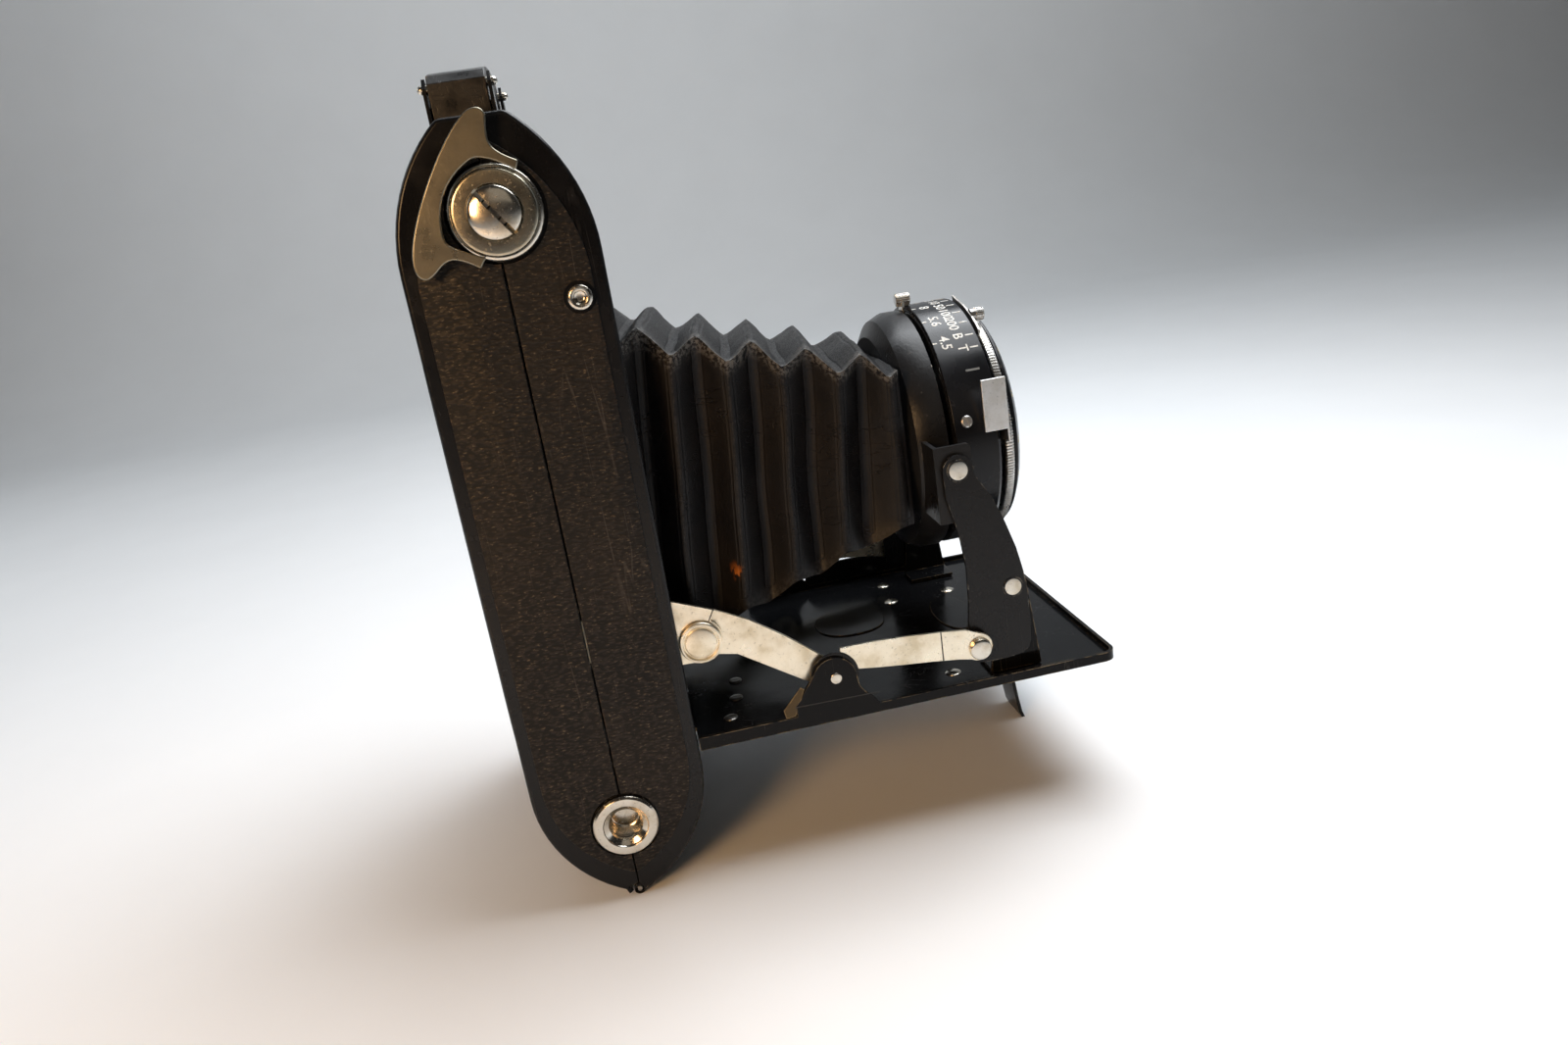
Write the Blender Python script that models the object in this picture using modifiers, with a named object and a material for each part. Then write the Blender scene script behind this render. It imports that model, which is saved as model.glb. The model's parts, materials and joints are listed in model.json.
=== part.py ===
"""A folding roll-film camera, standing upright on its back hinge and the foot of its open bed.

Lengths are in millimetres in the camera's own frame, and the helpers turn them into metres.
X is the lens direction with the body's seam at X = 0, Y runs across the body, and Z is up from
the ground.  The side at -Y carries the winding key and is called near, the other one far.
"""

import math

import bmesh
import bpy
from mathutils import Matrix, Vector

MM = 0.001
NEAR = -1
FAR = 1
SIDES = ((NEAR, "near"), (FAR, "far"))
GAP = 0.3                      # clearance between pieces that touch

# The origin lies under the middle of the whole camera's box.
X_MIDDLE = 47.45
Y_MIDDLE = -1.381

# Body: two half shells that meet at X = 0.
BODY_HALF_WIDTH = 42.2
BODY_HEIGHT = 164.3
WALL = 1.2
SEAM = 0.15                    # half of the gap along the seam
TOP_ARC = (15.5, 138.0, 34.1)  # how far its centre lies behind the seam, its height, its radius
FOOT_ARC = (11.4, 27.77, 30.0)
OPENING_LOW = 30.0
OPENING_HIGH = 131.2

# Axes that run across the body, as (x, z).
COVER_HINGE = (0.0, 1.3)
SUPPLY_AXIS = (0.0, 17.9)
WINDER_AXIS = (0.9, 147.0)
BUTTON = (12.8, 129.7)
BED_HINGE = (16.9, 32.0)
BODY_LINK_PIVOT = (-8.0, 61.0)
KNEE = (23.2, 55.0)
EAR_PIVOT = (50.7, 40.4)
PUSH_PIVOT = (84.0, 39.7)
STRUT_PIVOT = (93.7, 51.7)
STANDARD_PIVOT = (84.0, 80.5)
FOOT_HINGE = (101.5, 28.9)
FOOT_Y = (-3.4, 6.6)
FOOT_LUGS = ((-5.2, -3.8), (7.0, 8.4))

# Layers of sheet metal beside the bellows, as distances from the middle plane.
EAR_LAYER = (39.9, 40.7)
LINK_LAYER = (38.8, 39.6)
BRACE_LAYER = (37.7, 38.5)
STRUT_LAYER = (36.6, 37.4)
LUG_LAYER = (35.5, 36.3)
STRUT_HEAD = 37.6              # the struts' rivet heads stay under the brace links

# Bed.
BED_REAR = 18.9
BED_FRONT = 115.8
BED_BOTTOM = 30.3
BED_FLOOR = 31.2
BED_RIM = 33.3
FRONT_RIM = 32.5               # the rim is lower in front of the ears
FRONT_RIM_START = 58.9
BED_SHEET = 0.8

# Lens and shutter, turned about the lens axis.
LENS_Z = 82.5
CHEEK_REAR = 79.2              # of the standard's side plates
STANDARD_RADIUS = 28.9
DRUM_RADIUS = 28.6
SCALE_RADIUS = 29.8

BLACK_PAINT = ("black_paint", (0.012, 0.012, 0.013), 0.35, 0.0)
NICKEL = ("nickel", (0.62, 0.58, 0.51), 0.25, 1.0)
STEEL = ("steel", (0.36, 0.35, 0.33), 0.4, 1.0)
LEATHER = ("leather", (0.020, 0.017, 0.015), 0.6, 0.0)
GLASS = ("glass", (0.05, 0.06, 0.08), 0.05, 0.0)
RED_GLASS = ("red_glass", (0.25, 0.01, 0.01), 0.1, 0.0)
INNER_BLACK = ("inner_black", (0.015, 0.015, 0.015), 0.8, 0.0)


def clear_scene():
    """Remove every object of the startup scene."""
    for obj in list(bpy.data.objects):
        bpy.data.objects.remove(obj, do_unlink=True)


def new_collection(name):
    collection = bpy.data.collections.new(name)
    bpy.context.scene.collection.children.link(collection)
    return collection


clear_scene()
PARTS = new_collection("folding_camera")
CUTTERS = new_collection("cutters")
FRAME = bpy.data.objects.new("camera_frame", None)
FRAME.location = Vector((-X_MIDDLE, -Y_MIDDLE, 0.0)) * MM
PARTS.objects.link(FRAME)


# ---------------------------------------------------------------- outlines


def arc(centre, radius, start, end, steps):
    """Points on a circle from one angle to another, in degrees, both ends included."""
    points = []
    for i in range(steps + 1):
        angle = math.radians(start + (end - start) * i / steps)
        points.append((centre[0] + radius * math.cos(angle), centre[1] + radius * math.sin(angle)))
    return points


def softened(points, corners, steps=3):
    """A closed outline drawn as a smooth curve through its points, except at the corners."""
    result = []
    count = len(points)
    for i, start in enumerate(points):
        end = points[(i + 1) % count]
        before = start if start in corners else points[i - 1]
        after = end if end in corners else points[(i + 2) % count]
        for step in range(steps):
            t = step / steps
            weights = (-t + 2 * t**2 - t**3, 2 - 5 * t**2 + 3 * t**3, t + 4 * t**2 - 3 * t**3, t**3 - t**2)
            bend = zip(weights, (before, start, end, after))
            x, z = (sum(share) / 2 for share in zip(*((w * p[0], w * p[1]) for w, p in bend)))
            result.append((x, z))
    return result


def circle(centre, radius, steps=24):
    return arc(centre, radius, 0.0, 360.0, steps)[:-1]


def rectangle(x_range, y_range, radius=0.0):
    """An upright rectangle whose corners may be rounded."""
    (x0, x1), (y0, y1) = x_range, y_range
    if not radius:
        return [(x0, y0), (x1, y0), (x1, y1), (x0, y1)]
    corners = (
        ((x1 - radius, y0 + radius), -90.0),
        ((x1 - radius, y1 - radius), 0.0),
        ((x0 + radius, y1 - radius), 90.0),
        ((x0 + radius, y0 + radius), 180.0),
    )
    points = []
    for centre, start in corners:
        points += arc(centre, radius, start, start + 90.0, 4)
    return points


def body_outline(inset, seam_x):
    """Half of the body's end outline, from the foot up to the top, moved in by inset."""
    foot_back, foot_z, foot_radius = FOOT_ARC
    top_back, top_z, top_radius = TOP_ARC
    foot_start = -math.degrees(math.acos((foot_back + SEAM) / (foot_radius - inset)))
    top_end = math.degrees(math.asin((BODY_HEIGHT - inset - top_z) / (top_radius - inset)))
    points = arc((-foot_back, foot_z), foot_radius - inset, foot_start, 0.0, 14)
    points += arc((-top_back, top_z), top_radius - inset, 0.0, top_end, 12)
    points.append((SEAM, BODY_HEIGHT - inset))
    if seam_x != SEAM:
        points = [(seam_x, points[0][1])] + points + [(seam_x, points[-1][1])]
    return points


def mirrored(points):
    return [(-x, z) for x, z in reversed(points)]


# ---------------------------------------------------------------- solids


def link_mesh(name, mesh):
    obj = bpy.data.objects.new(name, mesh)
    PARTS.objects.link(obj)
    return obj


def evaluated_mesh(obj):
    bpy.context.view_layer.update()
    graph = bpy.context.evaluated_depsgraph_get()
    return bpy.data.meshes.new_from_object(obj.evaluated_get(graph))


def tidied(mesh, matrix=None):
    """Weld the loose caps of a mesh, face it outwards and move it by matrix."""
    work = bmesh.new()
    work.from_mesh(mesh)
    bmesh.ops.remove_doubles(work, verts=work.verts, dist=1e-6)
    if matrix is not None:
        work.transform(matrix)
    bmesh.ops.recalc_face_normals(work, faces=work.faces)
    if work.calc_volume(signed=True) < 0.0:
        bmesh.ops.reverse_faces(work, faces=work.faces)
    work.to_mesh(mesh)
    work.free()
    return mesh


PLANES = {
    "XY": Matrix.Identity(3),
    "XZ": Matrix(((1, 0, 0), (0, 0, -1), (0, 1, 0))),
    "YZ": Matrix(((0, 0, 1), (1, 0, 0), (0, 1, 0))),
}


def plate(name, outline, low, high, plane="XZ", holes=()):
    """A flat outline with holes, as thick as the range low to high across its plane."""
    data = bpy.data.curves.new(name, "CURVE")
    data.dimensions = "2D"
    data.fill_mode = "BOTH"
    data.extrude = (high - low) / 2 * MM
    for loop in (outline, *holes):
        spline = data.splines.new("POLY")
        spline.points.add(len(loop) - 1)
        for vertex, (u, v) in zip(spline.points, loop):
            vertex.co = (u * MM, v * MM, 0.0, 1.0)
        spline.use_cyclic_u = True
    curve = link_mesh(name + "_outline", data)
    mesh = evaluated_mesh(curve)
    bpy.data.objects.remove(curve, do_unlink=True)
    middle = Vector({"XY": (0, 0, 1), "XZ": (0, 1, 0), "YZ": (1, 0, 0)}[plane]) * (low + high) / 2 * MM
    matrix = Matrix.Translation(middle) @ PLANES[plane].to_4x4()
    return link_mesh(name, tidied(mesh, matrix))


def side_plate(name, outline, layer, side, holes=()):
    """A plate in one of the layers beside the bellows, on the near or the far side."""
    low, high = sorted((side * layer[0], side * layer[1]))
    return plate(name, outline, low, high, "XZ", holes)


def block(name, x_range, y_range, z_range):
    mesh = bpy.data.meshes.new(name)
    work = bmesh.new()
    bmesh.ops.create_cube(work, size=1.0)
    for vertex in work.verts:
        vertex.co = Vector([
            (low + high) / 2 * MM + share * (high - low) * MM
            for share, (low, high) in zip(vertex.co, (x_range, y_range, z_range))
        ])
    work.to_mesh(mesh)
    work.free()
    return link_mesh(name, mesh)


def axis_matrix(base, axis):
    return Matrix.Translation(Vector(base) * MM) @ Vector(axis).to_track_quat("Z", "Y").to_matrix().to_4x4()


def cylinder(name, start, end, radius, segments=24):
    """A round bar between two points."""
    start, end = Vector(start), Vector(end)
    mesh = bpy.data.meshes.new(name)
    work = bmesh.new()
    bmesh.ops.create_cone(
        work, cap_ends=True, segments=segments,
        radius1=radius * MM, radius2=radius * MM, depth=(end - start).length * MM,
    )
    work.transform(axis_matrix((start + end) / 2, end - start))
    work.to_mesh(mesh)
    work.free()
    return link_mesh(name, mesh)


def turned(name, profile, base, axis, segments=32):
    """A profile of (radius, height) turned about an axis through base.

    It runs from the top down the outer side.  A profile that doesn't start on the axis is a ring,
    whose last point joins its first one.
    """
    mesh = bpy.data.meshes.new(name)
    vertices = [(radius * MM, 0.0, height * MM) for radius, height in profile]
    edges = [(i, i + 1) for i in range(len(profile) - 1)]
    if profile[0][0] > 0.0:
        edges.append((len(profile) - 1, 0))
    mesh.from_pydata(vertices, edges, [])
    spun = link_mesh(name + "_profile", mesh)
    screw = spun.modifiers.new("turn", "SCREW")
    screw.steps = segments
    screw.render_steps = segments
    screw.use_merge_vertices = True
    screw.merge_threshold = 1e-6
    result = evaluated_mesh(spun)
    bpy.data.objects.remove(spun, do_unlink=True)
    return link_mesh(name, tidied(result, axis_matrix(base, axis)))


def boolean(target, other, operation):
    """Cut another solid from the target, or join it on; the other one stays as a hidden helper."""
    PARTS.objects.unlink(other)
    CUTTERS.objects.link(other)
    other.name = target.name + "_" + other.name
    other.hide_render = True
    other.display_type = "WIRE"
    other.parent = FRAME
    modifier = target.modifiers.new(operation.lower(), "BOOLEAN")
    modifier.operation = operation
    modifier.object = other
    modifier.solver = "EXACT"
    return target


def cut(target, *others):
    for other in others:
        boolean(target, other, "DIFFERENCE")
    return target


def join(target, *others):
    for other in others:
        boolean(target, other, "UNION")
    return target


def across(axis, y_start, y_end, radius, segments=24, name="bore"):
    """A round bar along Y whose axis passes through (x, z)."""
    return cylinder(name, (axis[0], y_start, axis[1]), (axis[0], y_end, axis[1]), radius, segments)


MATERIALS = {}


def material(kind):
    name, colour, roughness, metallic = kind
    if name not in MATERIALS:
        made = bpy.data.materials.new(name)
        made.use_nodes = True
        shader = made.node_tree.nodes["Principled BSDF"]
        shader.inputs["Base Color"].default_value = (*colour, 1.0)
        shader.inputs["Roughness"].default_value = roughness
        shader.inputs["Metallic"].default_value = metallic
        MATERIALS[name] = made
    return MATERIALS[name]


def finish(obj, kind, pivot=(0.0, 0.0, 0.0)):
    """Give a piece its material, its smooth shading and its origin on its joint's axis."""
    obj.data.transform(Matrix.Translation(-Vector(pivot) * MM))
    obj.location = Vector(pivot) * MM
    obj.parent = FRAME
    obj.data.materials.clear()
    obj.data.materials.append(material(kind))
    obj.data.shade_smooth()
    obj.data.set_sharp_from_angle(angle=math.radians(35.0))
    return obj


def on_axis(axis, y=0.0):
    return (axis[0], y, axis[1])


# ---------------------------------------------------------------- body

KNUCKLE = 1.3
KNUCKLE_BORE = 0.9
MIDDLE_KNUCKLE = 13.7          # half length of the cover's knuckle
BOSS_RADIUS = 8.9
BUSH_RADIUS = 7.2
STUD_RADIUS = 5.4
NOTCH_GAP = 0.35
PLATE_INNER = BODY_HALF_WIDTH - WALL


def boss_spots():
    """Discs of the end plates that reach over the seam: (axis, side, disc radius, bore radius)."""
    return (
        (WINDER_AXIS, NEAR, BOSS_RADIUS, 2.9),
        (SUPPLY_AXIS, NEAR, BUSH_RADIUS, 5.5),
        (WINDER_AXIS, FAR, STUD_RADIUS, 2.5),
        (SUPPLY_AXIS, FAR, STUD_RADIUS, 2.5),
    )


def make_body_shell():
    """The front half of the body with the opening that the bed closes."""
    shell = plate("body_shell", body_outline(0.0, SEAM), -BODY_HALF_WIDTH, BODY_HALF_WIDTH)
    hollow = plate("hollow", body_outline(WALL, -2.0), -PLATE_INNER, PLATE_INNER)
    opening = block("opening", (10.0, 25.0), (-PLATE_INNER, PLATE_INNER), (OPENING_LOW, OPENING_HIGH))
    cut(shell, hollow, opening)
    for side in (NEAR, FAR):
        join(shell, across(COVER_HINGE, side * (MIDDLE_KNUCKLE + GAP), side * BODY_HALF_WIDTH, KNUCKLE))
    for axis, side, radius, bore in boss_spots():
        join(shell, across(axis, side * PLATE_INNER, side * BODY_HALF_WIDTH, radius, 32, "boss"))
        cut(shell, across(axis, side * (PLATE_INNER - 1.0), side * (BODY_HALF_WIDTH + 1.0), bore, 20))
    reach = MIDDLE_KNUCKLE + GAP
    cut(shell, across(COVER_HINGE, -reach, reach, KNUCKLE + GAP))
    cut(shell, across(COVER_HINGE, -50.0, 50.0, KNUCKLE_BORE, 16))
    cut(shell, across(BUTTON, -50.0, -38.0, 1.5, 16))
    return finish(shell, BLACK_PAINT)


WINDOW_Z = 75.0
WINDOW_RADIUS = 5.0


def make_back_cover():
    """The rear half of the body, which swings down and back on the hinge at its foot."""
    cover = plate("back_cover", mirrored(body_outline(0.0, SEAM)), -BODY_HALF_WIDTH, BODY_HALF_WIDTH)
    hollow = plate("hollow", mirrored(body_outline(WALL, -2.0)), -PLATE_INNER, PLATE_INNER)
    cut(cover, hollow)
    join(cover, across(COVER_HINGE, -MIDDLE_KNUCKLE, MIDDLE_KNUCKLE, KNUCKLE))
    for side in (NEAR, FAR):
        cut(cover, across(COVER_HINGE, side * MIDDLE_KNUCKLE, side * 50.0, KNUCKLE + GAP))
    for axis, side, radius, _ in boss_spots():
        start, end = side * (PLATE_INNER - 0.5), side * (BODY_HALF_WIDTH + 1.0)
        cut(cover, across(axis, start, end, radius + NOTCH_GAP, 32, "notch"))
    cut(cover, across(COVER_HINGE, -50.0, 50.0, KNUCKLE_BORE, 16))
    cut(cover, cylinder("window", (-25.0, 0.0, WINDOW_Z), (-15.0, 0.0, WINDOW_Z), WINDOW_RADIUS, 32))
    return finish(cover, BLACK_PAINT, on_axis(COVER_HINGE))


def make_cover_hinge_pin():
    pin = across(COVER_HINGE, -BODY_HALF_WIDTH, BODY_HALF_WIDTH, 0.6, 12, "cover_hinge_pin")
    return finish(pin, STEEL, on_axis(COVER_HINGE))


GATE_BACK = -14.6
GATE_SHEET = 1.0
GATE_SIDE = (36.5, 37.3)
GATE_LOW = 35.0
GATE_HIGH = 129.0
GATE_WALL_FRONT = 10.0


def make_film_gate():
    """The frame behind the bellows that the film runs over, with the shelves of the spool rooms."""
    web_front = GATE_BACK + GATE_SHEET
    outer = rectangle((-GATE_SIDE[1], GATE_SIDE[1]), (GATE_LOW, GATE_HIGH))
    window = rectangle((-28.0, 28.0), (40.0, 124.0))
    gate = plate("film_gate", outer, GATE_BACK, web_front, "YZ", [window])
    for low in (GATE_LOW, GATE_HIGH - GATE_SHEET):
        inner = block("shelf", (GATE_BACK, 2.0), (-GATE_SIDE[1], GATE_SIDE[1]), (low, low + GATE_SHEET))
        shelf = block("ledge", (1.0, GATE_WALL_FRONT), (-EAR_LAYER[1], EAR_LAYER[1]), (low, low + GATE_SHEET))
        join(gate, inner, shelf)
    pivot_x, pivot_z = BODY_LINK_PIVOT
    for side in (NEAR, FAR):
        cheek = [
            (GATE_BACK, GATE_LOW), (-12.6, GATE_LOW), (-12.6, pivot_z - 7.0),
            (pivot_x + 4.0, pivot_z - 4.0), (pivot_x + 4.0, pivot_z + 4.0), (-12.6, pivot_z + 7.0),
            (-12.6, GATE_HIGH), (GATE_BACK, GATE_HIGH),
        ]
        join(gate, side_plate("cheek", cheek, GATE_SIDE, side))
        join(gate, across(BODY_LINK_PIVOT, side * GATE_SIDE[0], side * (LINK_LAYER[1] + 0.2), 1.2, 16, "pin"))
    return finish(gate, INNER_BLACK)


def make_film_rollers():
    for name, z in (("film_roller_lower", GATE_LOW - 2.4), ("film_roller_upper", GATE_HIGH + 2.4)):
        roller = across((-12.4, z), -33.0, 33.0, 1.9, 16, name)
        finish(roller, NICKEL, (-12.4, 0.0, z))


def make_bed_hinge_pin():
    pin = across(BED_HINGE, -40.7, 40.7, 0.7, 12, "bed_hinge_pin")
    return finish(pin, STEEL, on_axis(BED_HINGE))


FLANGE_TOP = BODY_HALF_WIDTH + GAP


def make_tripod_bush():
    """The threaded bush on the near side, which also carries one end of the supply spool."""
    profile = [
        (6.6, 1.1), (7.1, 0.6), (7.1, 0.0), (5.2, 0.0), (5.2, -6.2), (2.2, -6.2), (2.2, -12.2), (0.0, -12.2),
    ]
    bore = [(0.0, -5.0), (3.57, -5.0), (3.57, 1.1)]
    bush = turned("tripod_bush", bore + profile, (SUPPLY_AXIS[0], -FLANGE_TOP, SUPPLY_AXIS[1]), (0, -1, 0))
    return finish(bush, NICKEL, on_axis(SUPPLY_AXIS))


def make_spool_studs():
    """The pull studs on the far side, whose pins carry the other ends of both spools."""
    profile = [
        (0.0, 1.6), (4.4, 1.6), (5.0, 1.2), (5.0, 0.0), (2.2, 0.0), (2.2, -12.2), (0.0, -12.2),
    ]
    for name, axis in (("spool_stud_lower", SUPPLY_AXIS), ("spool_stud_upper", WINDER_AXIS)):
        stud = turned(name, profile, (axis[0], FLANGE_TOP, axis[1]), (0, 1, 0), 32)
        finish(stud, NICKEL, on_axis(axis))


SPOOL_HALF_LENGTH = 31.6
SPOOL_FLANGE = 12.6
SPOOL_CORE = 6.0
SPOOL_BORE = 2.6


def make_spool(name, axis):
    """A film spool: a core between two flanges, bored right through."""
    end = SPOOL_HALF_LENGTH
    inner = end - 1.0
    profile = [
        (SPOOL_BORE, end), (SPOOL_FLANGE, end), (SPOOL_FLANGE, inner), (SPOOL_CORE, inner),
        (SPOOL_CORE, -inner), (SPOOL_FLANGE, -inner), (SPOOL_FLANGE, -end), (SPOOL_BORE, -end),
    ]
    spool = turned(name, profile, on_axis(axis), (0, 1, 0), 24)
    return finish(spool, INNER_BLACK, on_axis(axis))


def make_release_button():
    """The bed's release: a button on a stem with a catch disc behind the end plate."""
    profile = [
        (0.0, 1.2), (1.1, 1.5), (1.4, 1.9), (2.0, 1.9), (2.4, 1.5), (2.4, 1.0), (1.2, 1.0), (1.2, -1.6),
        (1.9, -1.6), (1.9, -2.4), (0.0, -2.4),
    ]
    button = turned("release_button", profile, (BUTTON[0], -FLANGE_TOP, BUTTON[1]), (0, -1, 0), 24)
    return finish(button, NICKEL, on_axis(BUTTON, -FLANGE_TOP))


# ---------------------------------------------------------------- winder

KNOB_RADIUS = 7.85
KNOB_BASE = 1.5                # height of the knob's underside above the end plate's skin
KNOB_THICKNESS = 2.3
SLOT_TILT = 55.0               # of the screw's slot, in degrees
KEY_LAYER = (-46.0, -45.0)
SCREW_RADIUS = 4.8


def make_winder():
    """The turning group on the near side: boss ring, knob, slotted screw and shaft."""
    base = (WINDER_AXIS[0], -FLANGE_TOP, WINDER_AXIS[1])
    ring = [(3.2, 1.0), (8.2, 1.0), (8.7, 0.6), (8.7, 0.0), (3.2, 0.0)]
    finish(turned("winder_boss", ring, base, (0, -1, 0)), NICKEL, on_axis(WINDER_AXIS))
    top = KNOB_BASE + KNOB_THICKNESS
    knob = [
        (2.9, top), (KNOB_RADIUS - 0.6, top), (KNOB_RADIUS, top - 0.6), (KNOB_RADIUS, KNOB_BASE),
        (2.9, KNOB_BASE),
    ]
    finish(turned("wind_knob", knob, base, (0, -1, 0)), NICKEL, on_axis(WINDER_AXIS))
    shaft = [
        (0.0, -4.0), (1.5, -4.0), (1.5, top), (2.6, top), (2.6, -9.9), (2.2, -9.9), (2.2, -12.4), (0.0, -12.4),
    ]
    finish(turned("wind_shaft", shaft, base, (0, -1, 0), 24), STEEL, on_axis(WINDER_AXIS))
    low = top + GAP
    dome = [(SCREW_RADIUS * x, low + 0.5 + z) for x, z in arc((0.0, 0.0), 1.0, 90.0, 0.0, 6)]
    dome += [(SCREW_RADIUS, low), (1.2, low), (1.2, -3.5), (0.0, -3.5)]
    screw = turned("knob_screw", dome, base, (0, -1, 0), 24)
    slot = block("slot", (-6.0, 6.0), (-0.6, 2.0), (-0.45, 0.45))
    slot.data.transform(Matrix.Translation(Vector(base) * MM + Vector((0.0, -(low + 1.5) * MM, 0.0)))
                        @ Matrix.Rotation(math.radians(SLOT_TILT), 4, "Y"))
    cut(screw, slot)
    finish(screw, NICKEL, on_axis(WINDER_AXIS))
    make_spool("take_up_spool", WINDER_AXIS)


def make_wing_key():
    """The crescent-shaped key that folds flat round the knob and stands up on two ears."""
    upper_prong = [(6.9, 155.2), (6.2, 153.6)]
    lower_prong = [(-2.3, 139.5), (-3.6, 137.7)]
    inner_edge = [
        (4.0, 155.0), (1.8, 156.1), (-0.6, 156.6), (-2.8, 155.6), (-5.0, 153.9), (-6.9, 151.7),
        (-8.2, 149.0), (-8.8, 146.0), (-8.7, 143.3), (-7.4, 142.0), (-5.0, 140.7),
    ]
    outer_edge = [
        (-6.0, 139.2), (-8.2, 139.9), (-10.0, 139.4), (-12.0, 137.8), (-13.6, 137.2),
        (-14.9, 138.2), (-15.2, 140.4), (-14.4, 143.8), (-12.4, 148.4), (-9.7, 153.2),
        (-6.7, 157.7), (-3.6, 161.6), (-0.8, 164.2), (0.8, 164.9), (2.2, 164.7), (2.9, 163.5),
        (2.5, 161.0), (2.6, 158.6), (4.2, 156.8),
    ]
    outline = softened(upper_prong + inner_edge + lower_prong + outer_edge, upper_prong + lower_prong)
    key = plate("wing_key", outline, KEY_LAYER[0], KEY_LAYER[1])
    return finish(key, STEEL, on_axis(WINDER_AXIS, sum(KEY_LAYER) / 2))


# ---------------------------------------------------------------- back cover fittings


SPRING_BEND = 560.0            # radius of the leaf springs' bow


def make_cover_fittings():
    hinge = on_axis(COVER_HINGE)
    hole = circle((0.0, WINDOW_Z), WINDOW_RADIUS)
    outline = rectangle((-30.5, 30.5), (38.0, 126.0), 3.0)
    pressure = plate("pressure_plate", outline, -15.9, -15.1, "YZ", [hole])
    finish(pressure, INNER_BLACK, hinge)
    for name, z in (("pressure_spring_lower", 52.0), ("pressure_spring_upper", 108.0)):
        bow = arc((-17.1 + SPRING_BEND, 0.0), SPRING_BEND, 177.75, 182.25, 8)
        bow += [(x + 0.3, y) for x, y in reversed(bow)]
        finish(plate(name, bow, z - 4.0, z + 4.0, "XY"), STEEL, hinge)
    disc = cylinder("red_window", (-17.1, 0.0, WINDOW_Z), (-16.5, 0.0, WINDOW_Z), WINDOW_RADIUS + 1.2, 32)
    finish(disc, RED_GLASS, hinge)


SHUTTER_X = (-19.7, -19.1)


def make_window_shutter():
    """The sliding flap over the red window and the frame that it runs in."""
    frame = plate(
        "window_frame", rectangle((-10.0, 10.0), (WINDOW_Z - 8.0, WINDOW_Z + 22.5), 1.5), -20.2, -18.8, "YZ",
        [circle((0.0, WINDOW_Z), WINDOW_RADIUS)],
    )
    track = block("track", (-19.9, -18.9), (-8.0, 8.0), (WINDOW_Z - 6.5, WINDOW_Z + 21.0))
    face = block("face", (-21.0, -19.5), (-6.8, 6.8), (WINDOW_Z - 6.5, WINDOW_Z + 21.0))
    cut(frame, track, face)
    finish(frame, BLACK_PAINT, on_axis(COVER_HINGE))
    outline = rectangle((-7.6, 7.6), (WINDOW_Z - 6.0, WINDOW_Z + 7.2), 0.8)
    flap = plate("window_shutter", outline, *SHUTTER_X, "YZ")
    grip = block("grip", (-20.9, -19.5), (-3.5, 3.5), (WINDOW_Z + 4.0, WINDOW_Z + 5.6))
    join(flap, grip)
    finish(flap, NICKEL, (SHUTTER_X[0], 0.0, WINDOW_Z))


TOP_SKIN = BODY_HEIGHT + GAP


def make_back_latch():
    """The sliding catch on top that holds the two halves of the body together."""
    hook = plate("cover_hook", rectangle((-5.0, -0.6), (-2.0, 2.0)), TOP_SKIN, TOP_SKIN + 0.8, "XY")
    head = block("hook_head", (-1.6, -0.6), (-2.0, 2.0), (TOP_SKIN, TOP_SKIN + 2.0))
    join(hook, head)
    finish(hook, NICKEL, on_axis(COVER_HINGE))
    slide = plate("back_latch", rectangle((-0.3, 6.0), (-6.0, 6.0), 1.0), TOP_SKIN, TOP_SKIN + 0.8, "XY")
    bridge = block("bridge", (-2.2, 6.0), (-6.0, -2.4), (TOP_SKIN, TOP_SKIN + 0.8))
    lip = block("lip", (-2.9, -1.9), (-6.0, -2.4), (TOP_SKIN, TOP_SKIN + 2.0))
    grip = block("grip", (2.4, 4.4), (-5.0, 5.0), (TOP_SKIN + 0.5, TOP_SKIN + 2.4))
    join(slide, bridge, lip, grip)
    finish(slide, NICKEL, (3.0, 0.0, TOP_SKIN))


# ---------------------------------------------------------------- strap

STRAP_X = (-8.9, 2.6)
STRAP_PIN = (15.6, 172.2)      # distance from the middle, height
STRAP_PIN_RADIUS = 0.9


def strap_outline():
    """The handle's side view: a loop round each pin and a low arch between them."""
    pin_y, _ = STRAP_PIN
    upper = arc((0.0, 176.4 - 75.0), 75.0, 102.0, 78.0, 10)
    lower = arc((0.0, 172.6 - 60.0), 60.0, 79.0, 101.0, 8)
    near_end = [
        (pin_y + 1.7, 173.0), (pin_y + 1.7, 166.1), (pin_y + 1.3, 165.7), (pin_y + 0.2, 165.7),
        (pin_y + 0.2, 169.0), (pin_y - 2.6, 169.0),
    ]
    far_end = [(-y, z) for y, z in reversed(near_end)]
    return upper + near_end + lower + far_end


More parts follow.
